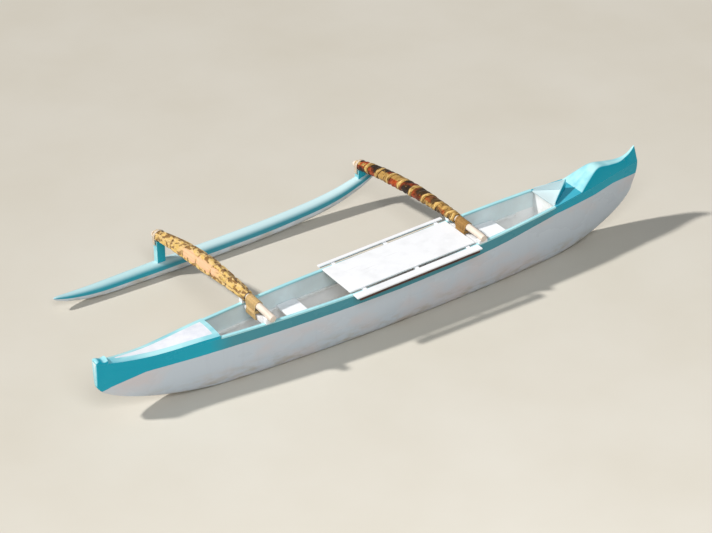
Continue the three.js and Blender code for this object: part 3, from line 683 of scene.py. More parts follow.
def woven(tree, across, along):
    """Plain weave as a height; threads are 2.5 mm apart, coarser than real so that they show."""
    thread = 2 * math.pi / 0.0025
    waves = []
    for side in (across, along):
        turned = add_node(tree, "ShaderNodeMath", {0: side, 1: thread}, operation="MULTIPLY")[0]
        waves.append(add_node(tree, "ShaderNodeMath", {0: turned}, operation="SINE")[0])
    crossed = add_node(tree, "ShaderNodeMath", {0: waves[0], 1: waves[1]}, operation="MULTIPLY")[0]
    return add_node(tree, "ShaderNodeMapRange", {
        "Value": crossed, "From Min": -1.0, "From Max": 1.0})[0]


def wave(tree, value, length, shift=0.0):
    """The sine of a value in metres, with that length of wave."""
    turned = add_node(tree, "ShaderNodeMath", {0: value, 1: 2 * math.pi / length, 2: shift},
                      operation="MULTIPLY_ADD")[0]
    return add_node(tree, "ShaderNodeMath", {0: turned}, operation="SINE")[0]


def cotton(name):
    """A cotton's material, tree and UV in metres, and that UV's two sides.

    The last is the second side again, wandering a little as a printed edge does.
    """
    material, tree, _ = start_material(name, IOR=1.46, Specular_IOR_Level=0.3, Sheen_Weight=0.1,
                                       Sheen_Roughness=0.5)
    cloth = add_node(tree, "ShaderNodeUVMap", uv_map="UVMap")[0]
    split = add_node(tree, "ShaderNodeSeparateXYZ", {0: cloth})
    wander = add_node(tree, "ShaderNodeTexNoise", {
        "Vector": cloth, "Scale": per_metre(83.33), "Detail": 4.0})
    side = add_node(tree, "ShaderNodeMath", {0: wander["Fac"], 1: 0.07, 2: split["Y"]},
                    operation="MULTIPLY_ADD")[0]
    return material, tree, cloth, split["X"], split["Y"], side


def front_cotton(colours):
    """Printed cotton, wound as a strip: dark and rust blocks along one side of a tan ground.

    The eye gets slanting dark, rust and tan bands that come and go, golden thread lines, the palest
    of them a painted highlight, small brown flecks and a dry weave. The end by the hull has faded.
    """
    material, tree, cloth, along, across, side = cotton("printed_cotton_banded")
    ground = layered(tree, colours.tan_cloth,
                     ("8A642C", spots(tree, cloth, 45.45, 0.4, 0.62, 5.0), 0.75),
                     ("5A3A14", spots(tree, cloth, 23.81, 0.54, 0.6, 2.0, (0.4, 1, 1)), 0.75),
                     # the palest thread line is a painted highlight as well as a thread
                     *[(colour, stripe(tree, side, low, high, 0.001), 0.85)
                       for low, high, colour in FRONT_THREADS_AND_HIGHLIGHT])
    dark = layered(tree, colours.brown_print,
                   (colours.orange_print, spots(tree, cloth, 294, 0.46, 0.56, 2.0), 1),
                   ("1F1207", spots(tree, cloth, 25, 0.5, 0.58, 3.0), 0.6),
                   ("C99A4C", spots(tree, cloth, 33.33, 0.66, 0.7, 2.0), 0.6))
    # a block of print every 0.61 m along the strip, over nearly three quarters of that
    band = stripe(tree, side, FRONT_BAND["from"], FRONT_BAND["to"], 0.003)
    block = stripe(tree, wave(tree, along, 0.61, 0.5), -0.65, 2.0, 0.06)
    printed = add_node(tree, "ShaderNodeMath", {0: band, 1: block}, operation="MULTIPLY")[0]
    kept = add_node(tree, "ShaderNodeMapRange", {
        "Value": along, "From Min": 0.3, "From Max": 1.5, "To Min": 0.65, "To Max": 1.0})[0]
    share = add_node(tree, "ShaderNodeMath", {0: printed, 1: kept}, operation="MULTIPLY")[0]
    return dressed(material, layered(tree, ground, (dark, share, 1)),
                   (spots(tree, cloth, 50, 0.3, 0.7), 0.86, 0.95),
                   [(woven(tree, along, across), 0.0004)])


def rear_cotton(colours):
    """Printed cotton, rolled along the beam: yellow tan with a long peach patch at its middle.

    The eye gets brown leaf marks, broken brown lines along the beam, and a dry weave.
    """
    material, tree, cloth, along, across, side = cotton("printed_cotton_striped")
    # across the cloth, the patch lies on the crests of a wave of 0.19 m and the lines in its troughs
    sway = wave(tree, side, 0.19)
    patch = add_node(tree, "ShaderNodeMath", {
        0: stripe(tree, sway, 0.25, 2.0, 0.2), 1: stripe(tree, along, 0.45, 1.1, 0.06)},
        operation="MULTIPLY")[0]
    leaves = spots(tree, cloth, 45.45, 0.5, 0.56, 3.0, (0.6, 1, 1))
    marks = add_node(tree, "ShaderNodeMath", {0: leaves, 1: patch}, operation="SUBTRACT",
                     use_clamp=True)[0]
    broken = spots(tree, cloth, 71.43, 0.4, 0.55, 3.0)
    lines = add_node(tree, "ShaderNodeMath", {0: stripe(tree, sway, -2.0, -0.85, 0.05), 1: broken},
                     operation="MULTIPLY")[0]
    colour = layered(tree, colours.yellow_cloth,
                     ("EBCB96", spots(tree, cloth, 45.45, 0.4, 0.65, 4.0), 0.7),
                     (colours.peach_print, patch, 1), ("6B3F1A", marks, 0.8),
                     ("5A3517", lines, 0.75))
    return dressed(material, colour, (spots(tree, cloth, 50, 0.3, 0.7), 0.86, 0.95),
                   [(woven(tree, along, across), 0.0004)])


def coir_cord(tint, name):
    """Hand-laid coir cord: coarse fibres, hairy and matt, darker between the strands."""
    material, tree, _ = start_material(name, IOR=1.5, Sheen_Weight=0.15)
    cord = add_node(tree, "ShaderNodeUVMap", uv_map="UVMap")[0]
    fibre = spots(tree, cord, 3.846, 0.35, 0.7, 5.0, LONG_ALONG)
    # the UV's first side is over a metre more for each turn, so whole turns differ in tone
    colour = layered(tree, tint, (shade(tint, 0.6), fibre, 0.75),
                     (shade(tint, 0.45), spots(tree, cord, 1111, 0.4, 0.6, 2.0), 0.35))
    return dressed(material, colour, (fibre, 0.8, 0.92), [(fibre, 0.0006)])


def float_enamel(colours):
    """The hull's two enamels on the float: white below, turquoise above, over a wavy edge.

    The sides are greyer, and the crown, which faces up, is pale: a painted highlight. Both are less
    aft of the rear beam.
    """
    material, tree, where = start_material("marine_enamel_on_float", **GLASS_ENAMEL)
    above = add_node(tree, "ShaderNodeAttribute", attribute_name="above_edge")["Fac"]
    upper = add_node(tree, "ShaderNodeMapRange", {
        "Value": above, "From Min": -0.0008, "From Max": 0.0008})[0]
    top, faded = lit_and_chalked_turquoise(tree, where, colours)
    along = add_node(tree, "ShaderNodeSeparateXYZ", {0: where})["X"]
    rear = BEAMS["rear"]["x"]
    # how much greyer the sides are and how much painted highlight the crown gets, rising past the
    # rear beam
    bleached = add_node(tree, "ShaderNodeMapRange", {
        "Value": along, "From Min": rear - 0.15, "From Max": rear + 0.15,
        "To Min": 0.55, "To Max": 0.9})[0]
    # painted highlight: the faces that look up are pale
    painted_highlight_crown = add_node(tree, "ShaderNodeMath", {
        0: facing(tree, (0.0, 0.0, 1.0), 0.45, 0.85), 1: bleached}, operation="MULTIPLY")[0]
    top = layered(tree, top, (GREYED_TURQUOISE, bleached, 0.65), ("D6F0F3", painted_highlight_crown, 1))
    scuffed = spots(tree, where, 71.43, 0.46, 0.68, 9.0, LONG_ALONG)
    colour = layered(tree, colours.white_paint, (SAND_SCUFF, scuffed, 0.55), (top, upper, 1))
    fair = add_node(tree, "ShaderNodeTexNoise", {
        "Vector": where, "Scale": per_metre(250), "Detail": 1.0})
    brushed = spots(tree, where, 11.1, 0.2, 0.8, 3.0, FINE_ALONG)
    return dressed(material, colour, (faded, 0.22, 0.38),
                   [(fair["Fac"], 0.0015), (brushed, 0.0002)])


def hull_ring(x, inset, floor, open_top):
    """One side's points of the hull's section at places x, from the sheer down to the bottom.

    Depth below the sheer is a superellipse's sine, and breadth its cosine, flared outwards. Where
    open_top is False the points lie flat at the sheer, as on a solid end.
    """
    line = {key: value[:, None] for key, value in hull_lines(x).items()}
    half, bottom, sheer = line["half"], line["bottom"], line["sheer"]
    round_off = 2 / line["power"]
    turn = np.pi / 2 * np.linspace(0, 1, HULL_GRID["side"])[None, :] ** (1 / round_off)
    down = np.sin(turn) ** round_off
    bulge = np.clip(np.cos(turn), 0, 1) ** round_off
    y = (bottom + (half - bottom) * bulge) * (1 - SIDE_FLARE * down) - inset[:, None]
    z = sheer - down * (sheer - line["keel"] - floor)
    z = np.where(open_top[:, None], z, sheer)
    return np.stack([np.maximum(y, LEAST_HALF), z], -1)


def build_hull(context):
    """The hull as one closed loft: outer skin, sheer, inner skin, solid stem and stern posts."""
    places, step = [], HULL_GRID["step"]
    spread, curve = (np.sin(np.linspace(0, np.pi / 2, HULL_GRID[key])) for key in ("half", "stem"))
    for sign, end in ((1, BOW), (-1, STERN)):
        places.append(sign * end["length"] * spread)
        places.append(sign * (end["length"] - STEM_ROUND + STEM_ROUND * curve))
        places.append(sign * np.array([end["well_end"], end["well_end"] + step]))
    x = np.unique(np.round(np.concatenate(places), 6))
    well = (x <= BOW["well_end"] + step / 100) & (x >= -STERN["well_end"] - step / 100)
    outer = hull_ring(x, stem_inset(x), 0.0, np.ones_like(well))
    inner = hull_ring(x, np.full_like(x, WALL), BOTTOM_WALL, well)
    inner[..., 0] = np.minimum(inner[..., 0], outer[:, :1, 0] - LEAST_WALL)
    mirror, middle = np.array([-1.0, 1.0]), np.array([0.0, 1.0])
    outer_half = [outer, outer[:, -1:] * middle, outer[:, ::-1] * mirror]
    inner_half = [inner * mirror, inner[:, -1:] * middle, inner[:, ::-1]]
    points = along_hull(x, np.concatenate(outer_half + inner_half, 1))
    height = points[..., 2]
    inside = np.zeros_like(height)
    inside[:, 2 * outer.shape[1] + 1:] = 1.0
    edge = np.interp(points[..., 0], PAINT_EDGE[:, 0], PAINT_EDGE[:, 1])
    depth = hull_lines(x)["sheer"][:, None] - height
    hull = grid_mesh("hull_skin", points, wrap=True,
                     values={"above_edge": height - edge, "inside": inside, "depth": depth})
    keep(hull, "hull_shell", slot="hull_white", material=hull_enamel(context.scene.canoe_colours))


def bar_loft(name, x, corners, radii, steps):
    """A closed loft through places x. Its section's corners (y, z) are arrays over x, rounded."""
    profile = np.stack([np.stack(corner, -1) for corner in corners], 1)
    return grid_mesh(name, along_hull(x, rounded(profile, radii, steps)), wrap=True)


def build_rails(context):
    """The cap rails, and the satin paint inside the hull.

    A rail is a flat bar along the sheer with its upper edges rounded.
    """
    colours = context.scene.canoe_colours
    # the rails are pale all over, and palest where they face the sun, which is painted sunlight
    paint = deck_enamel(colours, "pale_enamel_on_rails", least=0.8)
    x = np.linspace(RAIL["from"], RAIL["to"], 120)
    line = hull_lines(x)
    outer, inner = line["half"] + RAIL["overhang"], line["half"] - RAIL["inboard"]
    low = line["sheer"] + FIT
    high = low + RAIL["thick"]
    radii = [RAIL[key] for key in ("foot_round", "round", "round", "foot_round")]
    for side, word in ((1, "port"), (-1, "starboard")):
        corners = [(side * outer, low), (side * outer, high), (side * inner, high),
                   (side * inner, low)]
        rail = bar_loft(f"cap_rail_{word}", x, corners, radii, 5)
        keep(rail, f"rail_{word}", slot="turquoise_paint", material=paint)
    finish_nodes(("riser_port", "riser_starboard", "aft_bulkhead", "fore_bulkhead"),
                 satin_paint(colours), context.scene.canoe_sizes.edge)


def cambered(half, low, edge, count=28):
    """The aft deck's section: straight up from low to edge at each side, a parabola between.

    Height over the edge is the camber times one less the square of the share of the breadth.
    """
    share = np.linspace(-1, 1, count)[None, :]
    top_share = AFT_DECK["top_share"]
    top = np.stack([half[:, None] * np.clip(share, -top_share, top_share),
                    edge[:, None] + AFT_DECK["camber"] * (1 - share ** 2)], -1)
    foot, side = (np.stack([half, level], -1)[:, None]
                  for level in (low, edge - AFT_DECK["side_drop"]))
    mirror = np.array([-1.0, 1.0])
    return np.concatenate([foot * mirror, side * mirror, top, side, foot], 1)


def spline_through(knots, count):
    """A uniform Catmull-Rom curve through the knots, with count points on each stretch."""
    padded = np.vstack([knots[:1], knots, knots[-1:]])
    t = np.linspace(0, 1, count, endpoint=False)[None, :, None]
    a, b, c, d = (padded[i:len(padded) - 3 + i, None] for i in range(4))
    v0, v1 = (c - a) / 2, (d - b) / 2
    curve = ((2 * b - 2 * c + v0 + v1) * t ** 3 + (-3 * b + 3 * c - 2 * v0 - v1) * t ** 2
             + v0 * t + b)
    return np.vstack([curve.reshape(-1, knots.shape[1]), knots[-1:]])


def aft_deck(colours):
    """The cambered aft deck, with the distance from its edges for the painted panel."""
    x = np.linspace(AFT_DECK["from"], AFT_DECK["to"], 90)
    line = hull_lines(x)
    low = line["sheer"] + FIT
    rising = smooth_step(x, AFT_DECK["level_from"], AFT_DECK["level_to"])
    edge = low + AFT_DECK["edge"] + AFT_DECK["lift"] * rising
    points = along_hull(x, cambered(line["half"], low, edge))
    ends = np.minimum(x - AFT_PANEL["from"], AFT_PANEL["to"] - x) + AFT_PANEL["border"]
    border = np.minimum(line["half"][:, None] - np.abs(points[..., 1]), ends[:, None])
    deck = grid_mesh("aft_deck_cover", points, wrap=True, values={"border": border})
    keep(deck, "aft_deck", slot="turquoise_paint",
         material=deck_enamel(colours, "gloss_enamel_with_white_panel", panel=True))


def foredeck(colours):
    """The flat foredeck panel."""
    x = np.linspace(FOREDECK["from"], FOREDECK["to"], 30)
    line = hull_lines(x)
    low, half = line["sheer"] + FIT, line["half"]
    high = low + FOREDECK["thick"]
    corners = [(-half, low), (-half, high), (half, high), (half, low)]
    radii = [FOOT_ROUND, FOREDECK["round"], FOREDECK["round"], FOOT_ROUND]
    deck = bar_loft("foredeck_panel", x, corners, radii, 4)
    # little of the pale on the foredeck, where it would be painted sunlight
    keep(deck, "foredeck", slot="turquoise_paint",
         material=deck_enamel(colours, "gloss_enamel_on_foredeck", inner_white=inside_breakwater,
                              most=0.15))


def ridged(name, x, top, shape, steps):
    """A raised end under a ridge at height top: feet at the sheer, a shoulder and a top each side.

    The shoulder lies over the foot, or leans in from it where the shape has a lean.
    """
    line = hull_lines(x)
    half, low = line["half"] - stem_inset(x), line["sheer"] + FIT
    crest = half - np.minimum(shape.get("most", 0) * half, shape.get("lean", 0) * (top - low))
    shoulder = low + shape["shoulder"] * (top - low)
    side = [(half, low), (crest, shoulder), (TOP_SHARE * crest, top - shape["drop"])]
    corners = [(-y, z) for y, z in side] + [(0 * half, top)] + side[::-1]
    return bar_loft(name, x, corners, [FOOT_ROUND] + 5 * [shape["round"]] + [FOOT_ROUND], steps)


def build_decks(context):
    """Aft deck, stern piece, foredeck, raised bow and breakwaters."""
    colours = context.scene.canoe_colours
    paint = deck_enamel(colours, "gloss_turquoise_enamel_on_wood")
    aft_deck(colours)
    x, top = spline_through(STERN_RIDGE, 12).T
    keep(ridged("stern_tip", x, top, STERN_TIP, 5), "stern_piece", slot="turquoise_paint",
         material=paint)
    foredeck(colours)
    ridge = spline_through(BOW_RIDGE, 16)
    curve = BOW["length"] - STEM_ROUND + STEM_ROUND * np.sin(np.linspace(0, np.pi / 2, 7))
    x = np.unique(np.concatenate([ridge[:, 0], curve]))
    top = np.interp(x, ridge[:, 0], ridge[:, 1])
    keep(ridged("raised_bow", x, top, BOW_TOP, 6), "bow_piece", slot="turquoise_paint",
         material=paint)
    spray_paint = deck_enamel(colours, "gloss_enamel_on_breakwater", inner_white=aft_faces)
    finish_nodes(("breakwater_port", "breakwater_starboard"), spray_paint,
                 context.scene.canoe_sizes.edge)


def screw_heads():
    """Painted screw heads over the bearers: low domes turned round, on the slope of the boards."""
    mount = next(m for m in frame["record"]["mounts"] if m["name"] == "platform_top")
    start, up = mount["pos_m"], mount["axis"]
    around = np.linspace(0, 2 * np.pi, 20, endpoint=False)
    dome = np.array([(1, -1), (1, 0.4), (0.8, 0.85), (0.4, 1)]) * (SCREW["radius"], SCREW["height"])
    ring = np.stack([np.cos(around), np.sin(around)], -1)
    heads = []
    for board, count in SCREWS.items():
        low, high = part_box(board)
        for bearer in ("aft", "middle", "fore"):
            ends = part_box(f"platform_bearer_{bearer}")
            x = (ends[0].x + ends[1].x) / 2
            for y in np.linspace(low.y, high.y, 2 * count + 1)[1::2]:
                head = np.zeros((len(dome), len(around), 3))
                head[..., :2] = (x, y) + dome[:, None, :1] * ring
                head[..., 2] = start[2] - (head[..., 0] - start[0]) * up[0] / up[2] + dome[:, 1:]
                heads.append(grid_mesh("screw", head, wrap=True))
    return joined("board_screws", heads)


def build_boards(context):
    """Seats, platform boards and bearers in white, fascias in dark wood, painted screw heads.

    The fascias' dark wood also stands in for the shadow under the boards: painted shade.
    """
    colours, edge = context.scene.canoe_colours, context.scene.canoe_sizes.edge
    long_grain = board_paint(colours, FINE_ALONG, "white_paint_on_long_boards")
    cross_grain = board_paint(colours, (1, 0.05, 1), "white_paint_on_cross_boards")
    dark = hardwood_dark_as_shadow(colours)
    finish_nodes(SCREWS, long_grain, edge)
    finish_nodes(("front_seat", "rear_seat", "platform_bearer_aft", "platform_bearer_middle",
                  "platform_bearer_fore", "front_spreader", "rear_spreader"), cross_grain, edge)
    # the fascias' dark wood stands in for the shadow under the boards' overhang: painted shade
    finish_nodes(("platform_fascia_port", "platform_fascia_starboard"), dark, edge)
    keep(screw_heads(), slot="board_white", material=long_grain)


def beam_axis(beam, y):
    """Height and slope of a beam's axis at places y, read off its cubic Bezier curve."""
    t = np.linspace(0, 1, 400)[:, None]
    a, b, c, d = np.array(beam["axis"])
    curve = (1 - t) ** 3 * a + 3 * t * (1 - t) ** 2 * b + 3 * t ** 2 * (1 - t) * c + t ** 3 * d
    height = np.interp(y, curve[:, 0], curve[:, 1])
    slope = np.interp(y, curve[:, 0], np.gradient(curve[:, 1], curve[:, 0]))
    return height, slope


def round_beam(beam, y, turn, radius):
    """Points at an angle and a distance from a beam's axis, in the plane square to it.

    The angle starts at +X and turns upwards; y, turn and radius spread over one grid.
    """
    y, turn, radius = np.broadcast_arrays(y, turn, radius)
    height, slope = beam_axis(beam, y)
    tilt = np.arctan(slope)
    across, up = radius * np.cos(turn), radius * np.sin(turn)
    return np.stack([beam["x"] + across, y - up * np.sin(tilt), height + up * np.cos(tilt)], -1)


def cloth_radius(beam, y):
    """The cloth's radius at y: snug at both ends and fullest at the middle, as a sine's power."""
    along = np.clip((y - CLOTH["from"]) / (CLOTH["to"] - CLOTH["from"]), 0, 1)
    return beam["snug"] + (beam["wrap"] - beam["snug"]) * np.sin(np.pi * along) ** 1.5


def build_beams(context):
    """The peeled poles and the white saddles under them.

    A pole's radius falls by a smooth step at its chamfered ends, and sines give it low knots.
    """
    colours = context.scene.canoe_colours
    wood = peeled_pole(colours)
    white = board_paint(colours, FINE_ALONG, "white_paint_on_blocks")
    inset, run, knot = POLE["inset"], POLE["chamfer_run"], POLE["knot"]
    turn = np.linspace(0, 2 * np.pi, 40, endpoint=False)[None, :]
    for name, beam in BEAMS.items():
        low, high = beam["axis"][0][0] + inset, beam["axis"][-1][0] - inset
        inner = np.linspace(low + run, high - run, 160)
        y = np.concatenate([[low, low + inset], inner, [high - inset, high]])[:, None]
        chamfer = POLE["chamfer"] * smooth_step(-np.minimum(y - low, high - y), -run, 0.0)
        knots = knot * np.sin(y * 17 + 1) * np.cos(turn * 2 + y * 3)
        radius = BEAM_RADIUS - knot - chamfer + knots
        pole = grid_mesh(f"{name}_pole", round_beam(beam, y, turn, radius), wrap=True)
        keep(pole, f"{name}_beam", slot="bare_wood", material=wood)
        finish_nodes((f"{name}_saddle_port", f"{name}_saddle_starboard"), white,
                     context.scene.canoe_sizes.edge)


def thicken(piece, thickness):
    """Gives an open sheet its thickness, inwards from its faces."""
    solid = piece.modifiers.new("Thickness", "SOLIDIFY")
    solid.thickness = thickness
    solid.offset = -1


def tucked(radius, y, snug):
    """A cloth's radius drawn in to snug at its ends, by an exponential of the way to the nearer."""
    near = np.exp(-np.minimum(y - CLOTH["from"], CLOTH["to"] - y) / CLOTH["tuck"])
    return radius + (snug - radius) * near


def build_front_cloth(context):
    """A printed strip wound round the front beam.

    The strip's near edge moves along the beam by one pitch a turn, and stands still for the first
    and the last turn. Across the strip its radius falls, so that each turn lies over the last,
    and pleats run along it as sines whose size and phase drift from turn to turn.
    """
    sizes, beam, fold = context.scene.canoe_sizes, BEAMS["front"], FRONT_CLOTH
    pitch, width = sizes.cloth_turn, sizes.cloth_width
    turns = (CLOTH["to"] - CLOTH["from"] - width) / pitch + 2
    turn = np.linspace(0, 2 * np.pi * turns, int(84 * turns))[:, None]
    rounds = turn / (2 * np.pi)
    across = np.linspace(0, 1, 30)[None, :]
    advance = np.clip(rounds - 1, 0, turns - 2) * pitch
    y = CLOTH["from"] + advance + width * across
    first, last = np.clip(rounds, 0, 1), np.clip(rounds - turns + 1, 0, 1)
    lap = fold["lap"] * (1 - across) + fold["end_lap"] * (first + last)
    # 3.5 pleats lie across the strip and slide by 0.63 of one each turn; 8.3 creases lie on them
    swell = fold["pleat"] + fold["swell"] * np.sin(1.3 * turn + 0.6)
    pleats = swell * np.sin(2 * np.pi * (3.5 * across + 0.21 * np.sin(0.8 * turn) + 0.1 * turn))
    creases = fold["crease"] * np.sin(2 * np.pi * (8.3 * across + 0.17 * np.sin(1.9 * turn)))
    envelope = np.sin(np.pi * np.clip(across, 0.02, 0.98)) ** 0.8
    base = cloth_radius(beam, y)
    radius = base - fold["sunk"] + lap + (pleats + creases) * envelope
    radius = tucked(radius, y, BEAM_RADIUS + 0.004 + lap * 0.4)
    points = round_beam(beam, y, turn + fold["start"], radius)
    mean = base.mean(1)
    step = np.hypot(mean[1:] * np.diff(turn[:, 0]), np.diff(advance[:, 0]))
    length = np.concatenate([[0], np.cumsum(step)])
    slant = math.cos(math.atan(pitch / (2 * np.pi * float(mean.mean()))))
    flat_width = width * slant
    uv = np.stack(np.broadcast_arrays(length[:, None], across * flat_width), -1)
    cloth = grid_mesh("front_cloth_strip", points, uv=uv, sharp=80)
    thicken(cloth, CLOTH["thick"])
    keep(cloth, "front_wrap", slot="front_cloth",
         material=front_cotton(context.scene.canoe_colours))


def tie_places():
    """Where the rear cloth is tied, evenly along it."""
    return np.linspace(TIES["from"], TIES["to"], TIES["count"])


def build_rear_cloth(context):
    """A printed cloth rolled along the rear beam and tied.

    The radius rises from the inner edge to the outer one as a smooth step, with lengthwise folds
    as sines that drift along the beam, and it dips at each tie as a bell curve.
    """
    beam, fold = BEAMS["rear"], REAR_CLOTH
    y = np.linspace(CLOTH["from"], CLOTH["to"], 330)[:, None]
    turn = np.linspace(0, 2 * np.pi * fold["rounds"], 150)[None, :]
    share = turn / (2 * np.pi)
    base = cloth_radius(beam, y) - fold["sunk"] - fold["under"] * (1 - smooth_step(share, 0, 0.5))
    drift = 0.7 * np.sin(2.3 * y + 0.4) + 1.6 * y
    folds = (fold["fold"] * np.sin(6 * turn + drift)
             + fold["crease"] * np.sin(11 * turn - 2.1 * drift)
             + fold["crinkle"] * np.sin(21 * turn + 9 * y))
    outer_edge = smooth_step(fold["rounds"] - share, 0, 0.3)
    radius = base + folds * smooth_step(share, 0.1, 0.45) * (0.35 + 0.65 * outer_edge)
    for place in tie_places():
        radius = radius - TIES["dip"] * np.exp(-(((y - place) / TIES["reach"]) ** 2))
    radius = tucked(radius, y, BEAM_RADIUS + 0.006 + 0.003 * share)
    mean = float(cloth_radius(beam, y).mean())
    uv = np.stack(np.broadcast_arrays(y - CLOTH["from"], turn * mean), -1)
    points = round_beam(beam, y, turn + fold["start"], radius)
    cloth = grid_mesh("rear_cloth_roll", points, uv=uv, sharp=80)
    thicken(cloth, CLOTH["thick"])
    keep(cloth, "rear_wrap", slot="rear_cloth", material=rear_cotton(context.scene.canoe_colours))


def cord_loops(name, paths, reference, diameter):
    """Closed turns of three-strand cord along paths[turn, point, 3].

    Each section is a circle of the cord's radius with three lobes that turn as they go along.
    reference is the direction across the turns.
    """
    turns = len(paths)
    ahead = np.roll(paths, -1, 1) - np.roll(paths, 1, 1)
    ahead = ahead / np.linalg.norm(ahead, axis=2, keepdims=True)
    out = np.cross(ahead, np.array(reference))
    out = out / np.linalg.norm(out, axis=2, keepdims=True)
    side = np.cross(ahead, out)
    step = np.linalg.norm(np.roll(paths, -1, 1) - paths, axis=2)
    length = np.concatenate([np.zeros((turns, 1)), np.cumsum(step, 1)], 1)
    total = length[:, -1:]
    twists = np.round(total / (CORD["lay"] * diameter))
    turn = np.linspace(0, 2 * np.pi, CORD["sides"], endpoint=False)[None, None, :]
    phase = 2 * np.pi * twists[..., None] * (length[:, :-1] / total)[..., None]
    radius = diameter / 2 * (CORD["core"] + CORD["lobe"] * np.cos(3 * turn + phase))
    points = (paths[:, :, None] + out[:, :, None] * (radius * np.cos(turn))[..., None]
              + side[:, :, None] * (radius * np.sin(turn))[..., None])
    around = np.linspace(0, np.pi * diameter, CORD["sides"] + 1)
    pieces = []
    for i in range(turns):
        uv = np.stack(np.broadcast_arrays(length[i][:, None] + i, around[None, :]), -1)
        pieces.append(grid_mesh(f"{name}_turn", points[i], wrap=True, ring=True, uv=uv, sharp=90))
    return joined(name, pieces)


def evenly(outline, count):
    """The same closed flat outline with count points an even step apart."""
    closed = np.vstack([outline, outline[:1]])
    lengths = np.concatenate([[0], np.cumsum(np.linalg.norm(np.diff(closed, axis=0), axis=1))])
    even = np.linspace(0, lengths[-1], count, endpoint=False)
    return np.stack([np.interp(even, lengths, closed[:, i]) for i in (0, 1)], -1)


def racetrack(top, low, half, count=150):
    """A closed upright outline in (x, z): a half circle over the top and rounded corners below.

    It is the path of a cord stretched over a pole and under a flat bar.
    """
    arc = np.linspace(0, np.pi, count // 3)
    over = np.stack([half * np.cos(arc), top - half + half * np.sin(arc)], -1)
    corner = LASHING_CORNER
    under = []
    for side, start in ((-1, np.pi), (1, 1.5 * np.pi)):
        bend = np.linspace(start, start + np.pi / 2, 10)
        centre = np.array([side * (half - corner), low + corner])
        under.append(centre + corner * np.stack([np.cos(bend), np.sin(bend)], -1))
    return evenly(np.vstack([over, *under]), count)


def level_turns(middle, half_x, half_y, cord):
    """Level turns of cord round a lashing's waist: superellipses seen from above, stacked up."""
    turn = np.linspace(0, 2 * np.pi, 300, endpoint=False)
    round_off = 2 / FRAPPING["power"]
    plan = [half * np.sign(wave) * np.abs(wave) ** round_off
            for half, wave in ((half_x, np.cos(turn)), (half_y, np.sin(turn)))]
    plan = evenly(np.stack(plan, -1), 140)
    rise = (np.arange(FRAPPING["turns"]) - (FRAPPING["turns"] - 1) / 2) * cord
    points = np.zeros((len(rise), len(plan), 3)) + middle
    points[..., :2] += plan
    points[..., 2] += rise[:, None]
    return points


def side_by_side(middle, width, cord, more=0):
    """Where as many turns of cord lie as fit in a width, about its middle."""
    count = int(width / cord) + more
    return middle + (np.arange(count) - (count - 1) / 2) * cord


def hull_lashing(name, beam, cord):
    """A beam's lashing to the spreader in the hull.

    It is drawn in at its waist, as a bell curve of height, by level turns round it.
    """
    tie, draw = HULL_LASHING, FRAPPING["draw"]
    bar_low, bar_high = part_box(f"{name}_spreader")
    places = side_by_side(tie["y"], tie["width"], cord)
    height, _ = beam_axis(beam, places)
    waist = (bar_high.z + height.mean() - BEAM_RADIUS) / 2
    loops = []
    for i, place in enumerate(places):
        lift = cord / 2 + tie["slack"] + tie["stray"] * math.sin(5.1 * i)
        path = racetrack(height[i] + BEAM_RADIUS + lift, bar_low.z - lift, BEAM_RADIUS + lift)
        lean = np.linspace(0, 2 * np.pi, len(path), endpoint=False)
        drawn = draw * np.exp(-(((path[:, 1] - waist) / FRAPPING["reach"]) ** 2))
        offset = place + tie["stray"] * np.sin(lean + i) - drawn * (place - tie["y"])
        loops.append(np.stack([beam["x"] + path[:, 0], offset, path[:, 1]], -1))
    lashing = cord_loops(f"{name}_hull_lashing", np.array(loops), (0.0, 1.0, 0.0), cord)
    half_y = (1 - draw) * tie["width"] / 2 + cord / 2
    level = level_turns((beam["x"], tie["y"], waist), BEAM_RADIUS + 1.5 * cord, half_y, cord)
    frapping = cord_loops(f"{name}_frapping", level, (0.0, 0.0, 1.0), cord)
    return joined(f"{name}_hull_lashing", [lashing, frapping])


def float_lashing(name, beam, cord):
    """A beam's lashing to its post on the float; its turns follow the beam's slope."""
    low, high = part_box(f"{name}_ama_lashing")
    places = side_by_side(FLOAT["y"], FLOAT_LASHING["width"], cord, 1)
    height, _ = beam_axis(beam, places)
    tops = high.z - cord / 2 - FLOAT_LASHING["sunk"] + height - height.max()
    half = (high.x - low.x) / 2 - cord / 2
    loops = []
    for top, place in zip(tops, places):
        x, z = racetrack(top, low.z + cord / 2, half).T
        loops.append(np.stack([beam["x"] + x, np.full_like(x, place), z], -1))
    return cord_loops(f"{name}_float_lashing", np.array(loops), (0.0, 1.0, 0.0), cord)


def cloth_ties(beam, thin):
    """Three thin turns of cord at each tie of the rear cloth."""
    turn = np.linspace(0, 2 * np.pi, 110, endpoint=False)
    loops = []
    for place in tie_places():
        for y in (place - thin, place, place + thin):
            loops.append(round_beam(beam, y, turn, cloth_radius(beam, y) - TIES["sunk"]))
    return cord_loops("rear_cloth_ties", np.array(loops), (0.0, 1.0, 0.0), thin)


def build_lashings(context):
    """Coir lashings: beams to spreaders in the hull, beams to posts on the float, cloth ties."""
    colours, cord = context.scene.canoe_colours, context.scene.canoe_sizes.cord
    coir = {"front": coir_cord(colours.aged_coir, "aged_coir_cord"),
            "rear": coir_cord(colours.coir, "golden_coir_cord")}
    bleached = coir_cord(colours.pale_cord, "bleached_coir_cord")
    for name, beam in BEAMS.items():
        keep(hull_lashing(name, beam, cord), f"{name}_lashing", slot="coir_cord",
             material=coir[name])
        keep(float_lashing(name, beam, cord), f"{name}_ama_lashing", slot="coir_cord",
             material=bleached)
    keep(cloth_ties(BEAMS["rear"], cord * TIES["cord"]), slot="coir_cord", material=coir["rear"])


